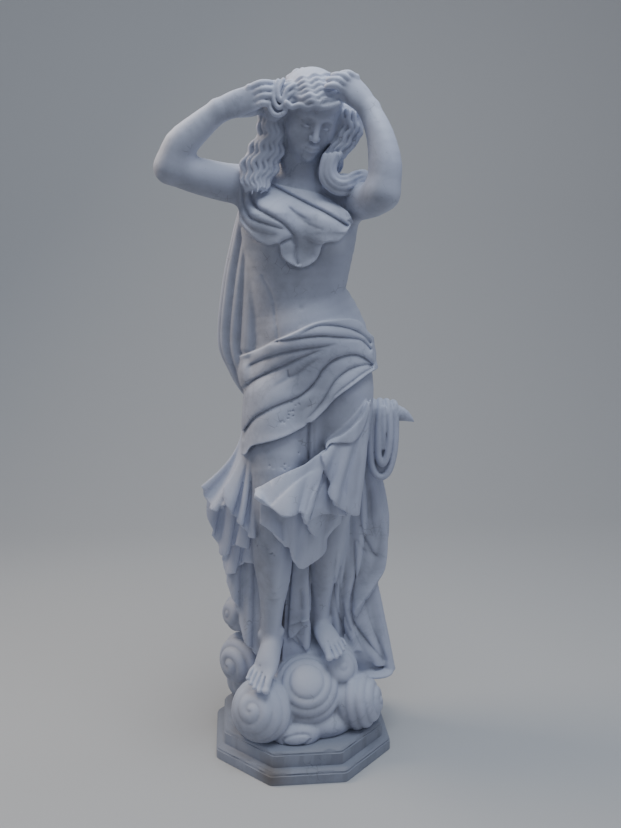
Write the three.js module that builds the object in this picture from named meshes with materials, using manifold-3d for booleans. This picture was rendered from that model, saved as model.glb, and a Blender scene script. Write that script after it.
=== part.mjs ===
// A garden statue in white marble: a draped woman who lifts her hair with both hands. She stands on
// a bank of clouds, and the clouds stand on an octagonal plinth. The figure, her cloths, the peg that
// holds the spare cloth and the clouds are carved from one block. The plinth is a slab of its own.
//
// Millimetres. The origin is the centre of the plinth's underside, +Z is up, and she faces -Y.
// Left and right are those of someone who stands in front of her and looks along +Y.
import * as THREE from "three";
import { mergeVertices } from "three/addons/utils/BufferGeometryUtils.js";
import Module from "manifold-3d";

const wasm = await Module();
wasm.setup();

// Driving dimensions
const PLINTH_TOP = 77; // height of the plinth
const PLINTH_HALF = 233; // centre to flat, lower step
const UPPER_HALF = 212; // centre to flat, upper step
const JOINT_GAP = 0.3; // mortar line between plinth and clouds
const CLOTH = 13; // thickness of free-hanging cloth

const X = new THREE.Vector3(1, 0, 0);
const Y = new THREE.Vector3(0, 1, 0);
const Z = new THREE.Vector3(0, 0, 1);

// ---------------------------------------------------------------- shaping tools

// A geometry as a solid. Its seams are merged, so that it is one closed surface.
function solidOf(geometry) {
  const bare = geometry.clone();
  bare.deleteAttribute("normal");
  bare.deleteAttribute("uv");
  const merged = mergeVertices(bare, 1e-3);
  const mesh = new wasm.Mesh({
    numProp: 3,
    vertProperties: merged.attributes.position.array,
    triVerts: new Uint32Array(merged.index.array),
  });
  return new wasm.Manifold(mesh);
}

// Joins solids, and keeps only the outer skin, so that no pocket is left between two cloths.
function carvedFrom(geometries) {
  const joined = geometries.map(solidOf).reduce((all, next) => all.add(next));
  return joined.decompose().reduce((most, next) => (next.volume() > most.volume() ? next : most));
}

function geometryOf(solid) {
  const mesh = solid.getMesh();
  const positions = new Float32Array(mesh.numVert * 3);
  for (let i = 0; i < mesh.numVert; i++) {
    positions.set(mesh.vertProperties.subarray(i * mesh.numProp, i * mesh.numProp + 3), i * 3);
  }
  return new THREE.BufferGeometry()
    .setAttribute("position", new THREE.BufferAttribute(positions, 3))
    .setIndex(new THREE.BufferAttribute(mesh.triVerts, 1));
}

// The skin over rings of equal length, closed by a point at each end.
function skinOver(rings, first, last) {
  const sides = rings[0].length;
  const points = [first, ...rings.flat(), last];
  const at = (r, s) => 1 + r * sides + (s % sides);
  const index = [];
  for (let s = 0; s < sides; s++) {
    index.push(0, at(0, s + 1), at(0, s));
    index.push(points.length - 1, at(rings.length - 1, s), at(rings.length - 1, s + 1));
    for (let r = 0; r < rings.length - 1; r++) {
      index.push(at(r, s), at(r, s + 1), at(r + 1, s));
      index.push(at(r + 1, s), at(r, s + 1), at(r + 1, s + 1));
    }
  }
  return new THREE.BufferGeometry().setFromPoints(points).setIndex(index);
}

const vector = (p) => new THREE.Vector3(p[0], p[1], p[2]);

const smooth = (points) => new THREE.CatmullRomCurve3(points.map(vector), false, "centripetal");

// A limb, a lock or a fold: an oval swept along a smooth curve through stations of
// [x, y, z, half width, half depth]. The depth lies along `face`, and the ends are domed.
// `relief(angle, t)` raises the skin, in millimetres.
function sweep(stations, { face = Y, sides = 8, steps = 2, relief = () => 0 } = {}) {
  const spine = smooth(stations);
  const girth = smooth(stations.map((s) => [s[3], s[4] ?? s[3], 0]));
  const ring = (t, scale, slide) => {
    const along = spine.getTangent(t);
    const wide = new THREE.Vector3().crossVectors(face, along).normalize();
    const deep = new THREE.Vector3().crossVectors(along, wide);
    const size = girth.getPoint(t);
    const centre = spine.getPoint(t).addScaledVector(along, slide * Math.min(size.x, size.y));
    return Array.from({ length: sides }, (_, s) => {
      const a = (2 * Math.PI * (s + 0.5)) / sides;
      const lift = relief(a, t);
      return centre
        .clone()
        .addScaledVector(wide, scale * (size.x + lift) * Math.cos(a))
        .addScaledVector(deep, scale * (size.y + lift) * Math.sin(a));
    });
  };
  const tip = (t, slide) => ring(t, 0, slide)[0];
  const count = (stations.length - 1) * steps;
  const rings = Array.from({ length: count + 1 }, (_, i) => ring(i / count, 1, 0));
  return skinOver([ring(0, 0.7, -0.6), ...rings, ring(1, 0.7, 0.6)], tip(0, -0.9), tip(1, 0.9));
}

// An egg: a sphere scaled to three half sizes and turned about X, Y and Z, in degrees.
function egg(centre, halves, turn = [0, 0, 0], detail = 8) {
  const [rx, ry, rz] = turn.map(THREE.MathUtils.degToRad);
  return new THREE.SphereGeometry(1, detail + 4, detail)
    .rotateX(Math.PI / 2)
    .scale(...halves)
    .rotateX(rx)
    .rotateY(ry)
    .rotateZ(rz)
    .translate(...centre);
}

// A rounded ridge: 0 in the valleys at whole numbers, 1 on the crests between them.
const ridge = (x) => Math.abs(Math.sin(Math.PI * x));

// A slab between two surfaces(u, v), with u and v from 0 to 1. Seen from outside the first one,
// v is 90 degrees anticlockwise from u.
function slab(outer, inner, across, down) {
  const grid = (surface) =>
    Array.from({ length: (across + 1) * (down + 1) }, (_, k) =>
      surface(Math.floor(k / (down + 1)) / across, (k % (down + 1)) / down),
    );
  const points = [...grid(outer), ...grid(inner)];
  const half = points.length / 2;
  const at = (i, j) => i * (down + 1) + j;
  const index = [];
  const quad = (a, b, c, d) => index.push(a, b, c, a, c, d);
  for (let i = 0; i < across; i++) {
    for (let j = 0; j < down; j++) {
      quad(at(i, j), at(i + 1, j), at(i + 1, j + 1), at(i, j + 1));
      quad(half + at(i, j), half + at(i, j + 1), half + at(i + 1, j + 1), half + at(i + 1, j));
    }
    quad(at(i, 0), half + at(i, 0), half + at(i + 1, 0), at(i + 1, 0));
    quad(at(i, down), at(i + 1, down), half + at(i + 1, down), half + at(i, down));
  }
  for (let j = 0; j < down; j++) {
    quad(at(0, j), at(0, j + 1), half + at(0, j + 1), half + at(0, j));
    quad(at(across, j), half + at(across, j), half + at(across, j + 1), at(across, j + 1));
  }
  return new THREE.BufferGeometry().setFromPoints(points).setIndex(index);
}

// A free cloth of even thickness, half of it on each side of surface(u, v).
function cloth(surface, across, down) {
  const step = 0.01;
  const side = (offset) => (u, v) => {
    const du = surface(Math.min(1, u + step), v).sub(surface(Math.max(0, u - step), v));
    const dv = surface(u, Math.min(1, v + step)).sub(surface(u, Math.max(0, v - step)));
    return surface(u, v).addScaledVector(du.cross(dv).normalize(), offset);
  };
  return slab(side(CLOTH / 2), side(-CLOTH / 2), across, down);
}

// ---------------------------------------------------------------- body

// Stations of limbs are [x, y, z, half width, half depth].
const trunk = sweep(
  [
    [28, 8, 930, 160, 94],
    [26, 6, 1010, 178, 106],
    [24, 6, 1080, 174, 102],
    [10, 6, 1145, 146, 90],
    [-3, 4, 1208, 121, 82],
    [-2, 0, 1290, 130, 90],
    [1, 0, 1360, 142, 98],
    [2, 8, 1415, 146, 88],
    [-2, 14, 1466, 118, 66],
    [4, 12, 1490, 62, 46],
  ],
  { sides: 10, steps: 1 },
);
const neck = sweep(
  [
    [2, 14, 1462, 56, 50],
    [10, -4, 1530, 48, 48],
    [20, -26, 1600, 50, 50],
  ],
  { steps: 1 },
);
const breasts = [
  egg([-62, -66, 1385], [58, 46, 50], [0, 0, 0], 5),
  egg([55, -70, 1374], [56, 46, 50], [0, 0, 0], 5),
];
const legs = [
  sweep(
    [
      [-60, -18, 940, 78, 84],
      [-64, -44, 850, 78, 78],
      [-70, -84, 740, 62, 62],
      [-74, -92, 680, 55, 54],
      [-76, -68, 590, 54, 56],
      [-76, -52, 500, 46, 52],
      [-80, -52, 410, 33, 36],
      [-84, -56, 335, 28, 30],
    ],
    { sides: 7, steps: 1 },
  ),
  sweep(
    [
      [98, -4, 950, 84, 88],
      [98, -16, 860, 80, 82],
      [92, -30, 740, 62, 64],
      [86, -32, 680, 54, 54],
      [74, -10, 590, 52, 56],
      [66, 6, 500, 45, 50],
      [56, 10, 400, 32, 36],
      [52, 10, 340, 28, 32],
    ],
    { sides: 7, steps: 1 },
  ),
];

// A foot from its ankle to the ball of the foot, with five toes beyond it.
// The big toe is on the side of `inner`, +1 for the right and -1 for the left.
function foot(ankle, ball, inner) {
  const [from, to] = [vector(ankle), vector(ball)];
  const along = to.clone().sub(from);
  const point = (t, width, depth) => [...from.clone().addScaledVector(along, t), width, depth];
  const instep = [point(-0.3, 25, 28), point(0.15, 27, 30), point(0.6, 32, 24), point(1, 35, 16)];
  const pitch = THREE.MathUtils.radToDeg(Math.atan2(along.z, -along.y));
  const toes = [0, 1, 2, 3, 4].map((k) => {
    const middle = to.clone().addScaledVector(along, k === 0 ? 0.2 : 0.22 - 0.035 * k);
    const halves = k === 0 ? [10, 24, 11] : [7.5, 20, 9];
    return egg([middle.x + inner * (26 - 13 * k), middle.y, middle.z], halves, [-pitch, 0, 0], 3);
  });
  return [sweep(instep, { face: Z, sides: 6, steps: 1 }), ...toes];
}

const feet = [
  egg([-78, -36, 312], [24, 30, 28], [0, 0, 0], 4),
  ...foot([-82, -62, 312], [-106, -142, 252], 1),
  egg([52, 34, 306], [24, 30, 26], [0, 0, 0], 4),
  ...foot([54, 4, 316], [78, -84, 284], -1),
];

// ---------------------------------------------------------------- arms

// For each arm, the upper arm and then the forearm.
const arms = [
  sweep(
    [
      [-100, 20, 1478, 52, 48],
      [-180, -8, 1484, 46, 42],
      [-262, -42, 1500, 42, 38],
      [-314, -58, 1512, 36, 34],
    ],
    { steps: 1 },
  ),
  sweep(
    [
      [-316, -60, 1514, 34, 36],
      [-288, -66, 1562, 38, 36],
      [-242, -72, 1604, 33, 30],
      [-196, -80, 1640, 27, 20],
    ],
    { steps: 1 },
  ),
  sweep(
    [
      [104, 22, 1436, 50, 52],
      [134, -40, 1436, 44, 44],
      [162, -116, 1440, 42, 44],
      [174, -158, 1448, 38, 40],
    ],
    { face: X, steps: 1 },
  ),
  sweep(
    [
      [178, -160, 1450, 40, 36],
      [184, -158, 1510, 40, 36],
      [174, -142, 1580, 33, 30],
      [152, -118, 1642, 26, 20],
    ],
    { steps: 1 },
  ),
];

// A hand: a flat palm from the wrist to the knuckles, and four fingers side by side.
// `spread` is the way from one finger to the next, the index finger first.
function hand(wrist, knuckles, spread, fingerTips) {
  const [from, to, fan] = [vector(wrist), vector(knuckles), vector(spread)];
  const middle = from.clone().lerp(to, 0.55);
  const palm = sweep([[...from, 25, 17], [...middle, 32, 15], [...to, 32, 13]], { steps: 1 });
  const fingers = fingerTips.map((tip, k) => {
    const root = to.clone().addScaledVector(fan, k - 1.5);
    const end = vector(tip);
    const bend = root.clone().lerp(end, 0.5).add(new THREE.Vector3(0, -7, 3));
    const joints = [[...root, 10, 11], [...bend, 9.5, 10], [...end, 8, 8]];
    return sweep(joints, { sides: 4, steps: 1 });
  });
  return [palm, ...fingers];
}

const hands = [
  ...hand([-196, -80, 1640], [-134, -92, 1662], [3, 0, -16], [
    [-78, -92, 1694],
    [-74, -96, 1678],
    [-76, -98, 1660],
    [-84, -98, 1642],
  ]),
  ...hand([152, -118, 1642], [106, -116, 1686], [11, 4, 12], [
    [50, -130, 1672],
    [54, -124, 1690],
    [64, -114, 1704],
    [80, -100, 1716],
  ]),
];

// ---------------------------------------------------------------- head and hair

// The head is shaped upright about its own centre, facing -Y, and then bowed into place.
const HEAD_CENTRE = [22, -50, 1642];
const HEAD_SCALE = 0.92;
const HEAD_BOW = 28; // degrees, forward
const HEAD_LEAN = 7; // degrees, crown to the right
const HEAD_TURN = 14; // degrees, face to the right

function bowed(geometry) {
  const [bow, lean, turn] = [HEAD_BOW, HEAD_LEAN, HEAD_TURN].map(THREE.MathUtils.degToRad);
  return geometry
    .scale(HEAD_SCALE, HEAD_SCALE, HEAD_SCALE)
    .rotateX(bow)
    .rotateY(lean)
    .rotateZ(turn)
    .translate(...HEAD_CENTRE);
}

const head = [
  egg([0, 0, -6], [60, 78, 100], [-8, 0, 0], 7),
  egg([0, -58, -86], [19, 16, 16], [0, 0, 0], 4),
  sweep([[0, -80, 14, 7, 8], [0, -90, -14, 8, 10], [0, -92, -32, 12, 12]], { steps: 1, sides: 5 }),
  egg([0, -74, -54], [16, 8, 4], [0, 0, 0], 3),
  egg([0, -73, -62], [14, 8, 4], [0, 0, 0], 3),
  egg([-26, -66, 0], [17, 14, 10], [0, 0, 0], 3),
  egg([26, -66, 0], [17, 14, 10], [0, 0, 0], 3),
].map(bowed);

// The cap of hair is an egg whose waves run round it, from the parting above her left brow.
const CAP_HALVES = [82, 92, 82];
const CAP_WAVES = 4.5;
const cap = egg([0, 0, 0], [1, 1, 1], [0, 0, 0], 7);
const capPoints = cap.attributes.position;
for (let i = 0; i < capPoints.count; i++) {
  const p = new THREE.Vector3().fromBufferAttribute(capPoints, i);
  const azimuth = Math.atan2(p.x, -p.y);
  const height = Math.asin(THREE.MathUtils.clamp(p.z, -1, 1)) / (Math.PI / 2);
  const wave = 0.07 * ridge(CAP_WAVES * height + 0.25 * Math.sin(4 * azimuth)) - 0.03;
  p.multiplyScalar(1 + wave * Math.cos((height * Math.PI) / 2));
  capPoints.setXYZ(i, p.x * CAP_HALVES[0], p.y * CAP_HALVES[1], p.z * CAP_HALVES[2]);
}
bowed(cap.rotateX(THREE.MathUtils.degToRad(-34)).translate(0, 20, 32));

// A hank of hair between two edges, with `locks` side by side that wave on their way down.
// It is `depth` deep, to the front of the edges or, where the depth is negative, to the back.
function hank(leftEdge, rightEdge, { locks, waves, swing, depth, down }) {
  const [left, right] = [smooth(leftEdge), smooth(rightEdge)];
  const surface = (reach) => (u, v) => {
    const p = left.getPoint(v).lerp(right.getPoint(v), u);
    p.x += swing * Math.sin(2 * Math.PI * waves * v + 2 * u);
    p.y -= reach * (0.55 + 0.45 * ridge(locks * u));
    return p;
  };
  const front = depth > 0;
  return slab(surface(front ? 0 : depth), surface(front ? depth : 0), locks * 2, down);
}
const frontHank = hank(
  [[-96, -56, 1655], [-104, -46, 1596], [-138, -28, 1535], [-148, -40, 1478], [-112, -66, 1432]],
  [[-36, -56, 1655], [-36, -46, 1596], [-44, -40, 1535], [-58, -56, 1478], [-88, -70, 1436]],
  { locks: 4, waves: 2.2, swing: 5, depth: 30, down: 6 },
);
const backHank = hank(
  [[-60, 0, 1660], [-80, 20, 1570], [-92, 60, 1490], [-76, 84, 1390]],
  [[86, 0, 1660], [98, 20, 1570], [92, 60, 1490], [70, 84, 1390]],
  { locks: 3, waves: 1.2, swing: 6, depth: -36, down: 4 },
);

// The locks beside her left cheek curl forward over the right shoulder.
const sideLocks = [0, 1, 2].map((k) =>
  sweep(
    [
      [134 - 16 * k, -70, 1640, 13],
      [122 - 17 * k, -62 - 6 * k, 1590, 13],
      [88 - 15 * k, -58 - 10 * k, 1545, 13],
      [50 + 6 * k, -72, 1508, 12],
      [58 + 11 * k, -88, 1470 + 13 * k, 14],
      [96, -80, 1452 + 18 * k, 14],
      [128, -52, 1472 + 13 * k, 12],
      [160, -20, 1490 + 5 * k, 7],
    ],
    { sides: 5, steps: 1 },
  ),
);
const liftedBunch = egg([-62, -78, 1662], [30, 26, 42], [0, 20, 0], 5);
const hair = [cap, liftedBunch, frontHank, backHank, ...sideLocks];

// ---------------------------------------------------------------- cloth on the body

const body = geometryOf(carvedFrom([trunk, neck, ...breasts, ...legs]));
const bodyMesh = new THREE.Mesh(body, new THREE.MeshBasicMaterial({ side: THREE.DoubleSide }));

// The point of the body's front at x and z, a little proud of the skin.
function onSkin(x, z, proud = 0) {
  const ray = new THREE.Raycaster(new THREE.Vector3(x, -600, z), Y);
  const hit = ray.intersectObject(bodyMesh)[0];
  return new THREE.Vector3(x, (hit ? hit.point.y : 0) - proud, z);
}

// A cloth that clings to the body's front between two edges through points of [x, z].
// Its folds run from side to side, `folds` of them between the edges.
function clinging(top, hem, { across, folds, height, flare = 0 }) {
  const [upper, lower] = [top, hem].map((edge) => smooth(edge.map(([x, z]) => [x, 0, z])));
  const surface = (proud) => (u, v) => {
    const p = upper.getPoint(u).lerp(lower.getPoint(u), v);
    return onSkin(p.x, p.z, proud(v));
  };
  const front = surface((v) => 5 + height * ridge(folds * v + 0.5) + flare * v * v);
  return slab(surface(() => -12), front, across, folds * 2);
}

const bodice = clinging(
  [[-116, 1476], [-60, 1474], [0, 1452], [60, 1424], [112, 1392]],
  [
    [-130, 1372],
    [-96, 1340],
    [-58, 1340],
    [-36, 1296],
    [0, 1280],
    [34, 1302],
    [46, 1340],
    [86, 1346],
    [110, 1368],
  ],
  { across: 8, folds: 4, height: 10, flare: 10 },
);
const wrap = clinging(
  [[-138, 1060], [-73, 1103], [0, 1138], [75, 1154], [140, 1142], [182, 1104]],
  [[-134, 880], [-70, 864], [-10, 884], [48, 930], [112, 984], [180, 1014]],
  { across: 7, folds: 6, height: 14, flare: 4 },
);

// ---------------------------------------------------------------- hanging cloth

// A cloth between a top edge and a hem, which ripples more and more towards the hem.
// With `flare` over 1 it hangs straight at first and spreads near the hem.
function flounce(top, hem, { waves = 2, depth = 14, phase = 0, flare = 1, across = 8, down = 2 } = {}) {
  const [upper, lower] = [smooth(top), smooth(hem)];
  const surface = (u, v) => {
    const [from, to] = [upper.getPoint(u), lower.getPoint(u)];
    const p = from.clone().lerp(to, v);
    p.x = THREE.MathUtils.lerp(from.x, to.x, v ** flare);
    p.y -= depth * v * Math.sin(2 * Math.PI * (waves * u + phase));
    return p;
  };
  return cloth(surface, across, down);
}

// Points of [x, z, how far in front of the skin], for the edges of cloth that hangs before the legs.
const before = (points) => points.map(([x, z, proud]) => onSkin(x, z, proud).toArray());

const flounces = [
  flounce(
    before([[158, 950, 2], [136, 905, 4], [100, 868, 4], [54, 832, 4]]),
    before([[128, 664, 28], [96, 680, 30], [70, 704, 34], [62, 750, 34], [42, 812, 30]]),
    { waves: 1.5, depth: 12, across: 7 },
  ),
  flounce(
    before([[46, 828, 0], [-10, 800, 4], [-62, 778, 4], [-112, 746, 4]]),
    before([[8, 668, 60], [-24, 690, 30], [-60, 692, 30], [-100, 716, 34], [-122, 736, 36]]),
    { waves: 1, depth: 12, phase: 0.2, across: 6 },
  ),
  flounce(
    before([[68, 730, 8], [58, 770, 8], [40, 800, 8]]),
    before([[102, 658, 20], [58, 664, 36], [10, 668, 50]]),
    { waves: 1, depth: 12, across: 6 },
  ),
  flounce(
    before([[96, 740, -4], [40, 740, -4], [-40, 740, -4], [-112, 730, -4]]),
    before([
      [88, 650, 12],
      [56, 592, 34],
      [44, 550, 42],
      [4, 534, 70],
      [-28, 580, 40],
      [-66, 616, 26],
      [-110, 656, 22],
    ]),
    { waves: 2, depth: 12, across: 8 },
  ),
];

const cascade = [
  flounce(
    [[-124, -60, 900], [-140, -36, 890], [-150, 0, 880]],
    [[-200, -70, 700], [-218, -66, 674], [-240, -50, 684], [-262, -20, 726]],
    { waves: 1, depth: 10, flare: 2.2, down: 3, across: 6 },
  ),
  flounce(
    [[-112, -92, 870], [-130, -70, 868], [-140, -40, 860]],
    [[-128, -100, 612], [-158, -96, 632], [-184, -84, 668], [-206, -76, 732]],
    { waves: 1.5, depth: 12, flare: 1.6, down: 3, across: 6 },
  ),
  flounce(
    [[-120, -50, 700], [-170, -24, 720], [-226, 0, 720]],
    [[-140, -60, 560], [-176, -40, 560], [-206, -24, 536], [-228, -12, 580], [-252, -6, 680]],
    { waves: 1.5, depth: 12, across: 6 },
  ),
  flounce(
    [[-110, -30, 640], [-150, -10, 640], [-200, 10, 620]],
    [[-124, -50, 520], [-162, -24, 520], [-180, -16, 488], [-200, -4, 480], [-210, 6, 560]],
    { waves: 1.5, depth: 10, across: 6 },
  ),
];

// The peg at her left hip, and the spare cloth that hangs over it in nested loops.
const peg = sweep(
  [
    [150, 22, 904, 30],
    [228, 20, 906, 25],
    [268, 18, 900, 19],
    [300, 16, 880, 4],
  ],
  { sides: 6, steps: 1 },
);
const swag = [
  { left: 181, right: 243, bottom: 744, width: 12, y: -14 },
  { left: 190, right: 226, bottom: 772, width: 10, y: -22 },
  { left: 200, right: 212, bottom: 800, width: 7, y: -24 },
].map(({ left, right, bottom, width, y }) => {
  const middle = (left + right) / 2;
  const stations = [
    [left + 6, y + 14, 926, width],
    [left - 4, y, 850, width],
    [left - 4, y, bottom + 40, width],
    [middle, y - 2, bottom, width],
    [right, y, bottom + 40, width],
    [right + 2, y, 850, width],
    [right, y + 14, 920, width],
  ];
  return sweep(stations, { sides: 5, steps: 1 });
});

// The cloth behind her legs falls to the clouds and spreads on them, in folds all round.
const SKIRT_FOLDS = 10;
const skirt = sweep(
  [
    [26, 44, 1040, 130, 66],
    [30, 54, 880, 160, 64],
    [34, 60, 740, 182, 62],
    [36, 64, 600, 206, 60],
    [32, 64, 480, 200, 58],
    [38, 62, 390, 172, 56],
    [46, 58, 280, 180, 58],
    [50, 54, 150, 178, 62],
  ],
  {
    sides: SKIRT_FOLDS * 2,
    steps: 1,
    relief: (angle, t) =>
      14 * ridge((SKIRT_FOLDS * angle) / (2 * Math.PI) + 0.25 + 0.15 * Math.sin(5 * t)),
  },
);
const hem = flounce(
  [[212, 52, 330], [188, 34, 350], [150, 8, 350], [112, -4, 360]],
  [[254, -2, 180], [216, -34, 194], [158, -50, 214], [122, -44, 266]],
  { waves: 1.5, depth: 10, down: 3 },
);

// The cape hangs from the left shoulder, behind the arm, and is tucked into the wrap at the hip.
const cape = sweep(
  [
    [-92, 46, 1450, 44, 34],
    [-112, 56, 1348, 50, 36],
    [-124, 60, 1230, 63, 38],
    [-134, 62, 1090, 66, 38],
    [-128, 58, 1010, 42, 36],
    [-120, 52, 970, 32, 34],
  ],
  { sides: 12, steps: 1, relief: (angle) => 12 * ridge((6 * angle) / (2 * Math.PI) + 0.25) },
);

// ---------------------------------------------------------------- clouds

// A ball of cloud, with `rings` ridges that circle it about `axis`.
function cloud(centre, radius, axis, rings = 3) {
  const aim = new THREE.Quaternion().setFromUnitVectors(Y, vector(axis).normalize());
  const steps = 2 * (rings + 1);
  const profile = Array.from({ length: steps + 1 }, (_, i) => {
    const angle = Math.PI * (1 - i / steps);
    const r = radius * (i % 2 === 0 ? 0.93 : 1.03);
    return new THREE.Vector2(Math.max(0, r * Math.sin(angle)), r * Math.cos(angle));
  });
  profile[0].x = 0;
  profile[steps].x = 0;
  return new THREE.LatheGeometry(profile, 7).applyQuaternion(aim).translate(...centre);
}

const clouds = [
  egg([14, 20, 130], [180, 150, 110], [0, 0, 0], 4),
  egg([40, 10, 236], [120, 90, 56], [0, 0, 0], 4),
  cloud([-108, -114, 138], 82, [-0.35, -0.8, -0.2]),
  cloud([4, -84, 198], 88, [0.1, -0.8, 0.45]),
  cloud([88, -50, 216], 60, [0.3, -0.8, 0.5], 2),
  cloud([138, -80, 136], 74, [0.9, -0.35, 0.1]),
  egg([-30, -152, 92], [52, 34, 30], [0, 0, 0], 5),
  cloud([-146, 46, 210], 68, [-0.8, -0.6, 0.1], 2),
  cloud([-168, 66, 350], 52, [-0.8, -0.5, 0.2], 2),
  cloud([-130, 96, 130], 74, [-0.3, 0.9, 0], 1),
  cloud([0, 112, 150], 84, [0, 1, 0.2], 1),
  cloud([124, 96, 130], 76, [0.4, 0.9, 0], 1),
];

// ---------------------------------------------------------------- blocks

const figureSolid = carvedFrom([
  body,
  ...feet,
  ...arms,
  ...hands,
  ...head,
  ...hair,
  bodice,
  wrap,
  ...flounces,
  ...cascade,
  peg,
  ...swag,
  skirt,
  hem,
  cape,
  ...clouds,
]);
const below = new THREE.BoxGeometry(1000, 1000, 400).translate(0, 0, PLINTH_TOP + JOINT_GAP - 200);
const bedded = figureSolid.subtract(solidOf(below)).decompose()[0];

// One step of the plinth: an octagon with flats along X and Y, and a bevelled top edge.
const CORNER = 1 / Math.cos(Math.PI / 8);
function plinthStep(half, bottom, top, bevel) {
  const profile = [
    [0, bottom],
    [half, bottom],
    [half, top - bevel],
    [half - bevel, top],
    [0, top],
  ].map(([r, z]) => new THREE.Vector2(r * CORNER, z));
  return new THREE.LatheGeometry(profile, 8).rotateX(Math.PI / 2).rotateZ(Math.PI / 8);
}
const plinthSolid = solidOf(plinthStep(PLINTH_HALF, 0, 34, 8)).add(
  solidOf(plinthStep(UPPER_HALF, 20, PLINTH_TOP, 8)),
);

// ---------------------------------------------------------------- the statue

const marble = { color: 0xc9ccd6, roughness: 0.55, metalness: 0 };
const statue = new THREE.Group();
for (const [name, solid] of [["figure", bedded], ["plinth", plinthSolid]]) {
  const mesh = new THREE.Mesh(geometryOf(solid), new THREE.MeshStandardMaterial(marble));
  mesh.name = name;
  statue.add(mesh);
}

export default statue;
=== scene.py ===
# A garden statue in white marble: a draped woman lifts her hair with both hands and stands on a bank
# of clouds. She, her cloths and the clouds are one carved block, and the plinth is a slab of its own.
# Blender works in metres. The carving is worked out in millimetres, in the same frame as the solids:
# the origin is the centre of the plinth's underside, +Z is up, and she faces -Y.
import math

import bpy
import numpy as np
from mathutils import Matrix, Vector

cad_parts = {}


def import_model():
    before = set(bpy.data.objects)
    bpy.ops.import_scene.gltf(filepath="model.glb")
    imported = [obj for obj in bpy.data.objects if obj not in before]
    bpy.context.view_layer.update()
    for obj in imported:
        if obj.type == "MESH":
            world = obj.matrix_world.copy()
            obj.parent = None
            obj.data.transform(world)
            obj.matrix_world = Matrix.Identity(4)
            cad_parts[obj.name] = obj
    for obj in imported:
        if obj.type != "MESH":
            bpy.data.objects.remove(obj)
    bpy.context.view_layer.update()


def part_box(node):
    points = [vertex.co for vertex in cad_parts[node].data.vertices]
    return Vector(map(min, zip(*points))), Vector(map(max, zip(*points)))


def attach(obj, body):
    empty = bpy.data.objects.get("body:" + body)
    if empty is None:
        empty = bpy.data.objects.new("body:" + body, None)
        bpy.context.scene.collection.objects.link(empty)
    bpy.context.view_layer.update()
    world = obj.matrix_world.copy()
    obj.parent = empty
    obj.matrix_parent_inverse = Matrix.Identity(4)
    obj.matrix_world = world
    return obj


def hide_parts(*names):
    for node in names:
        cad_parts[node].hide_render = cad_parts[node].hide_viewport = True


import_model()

import openvdb
from mathutils import Euler, Vector

# ---------------------------------------------------------------- camera
# A camera on a stand, a little above the middle of the statue and to her right, turned down at her.

camera_data = bpy.data.cameras.new("camera")
camera_data.sensor_fit = "AUTO"
camera_data.sensor_width = 36.0
camera_data.lens = 36.65
camera = bpy.data.objects.new("camera", camera_data)
camera.location = (-0.173, -2.144, 1.300)
camera.rotation_euler = Euler((math.radians(90 - 10.4), 0, math.radians(-5.3)))
bpy.context.scene.collection.objects.link(camera)
bpy.context.scene.camera = camera

# ---------------------------------------------------------------- the block and her body
# One block of marble, kept as the distance from every point of a grid to its surface. Each form of
# the carving is added to that distance or cut from it, with a soft or a crisp join, as a carver
# would rough out the body first and then work down to the finest folds.

GRID = 2.3
FAR = 48.0  # how far from the marble its distance is kept
HALO = 14.0  # room left round each form and round the block
ROOM = 20  # room before and behind the block for cloth
BLOCK_LOW, BLOCK_HIGH = (np.array(corner) * 1000 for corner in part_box("figure"))
BED = BLOCK_LOW[2]


def soft_min(a, b, blend):
    h = np.clip(blend - np.abs(a - b), 0, None)
    return np.minimum(a, b) - h * h / (4 * blend)


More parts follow.
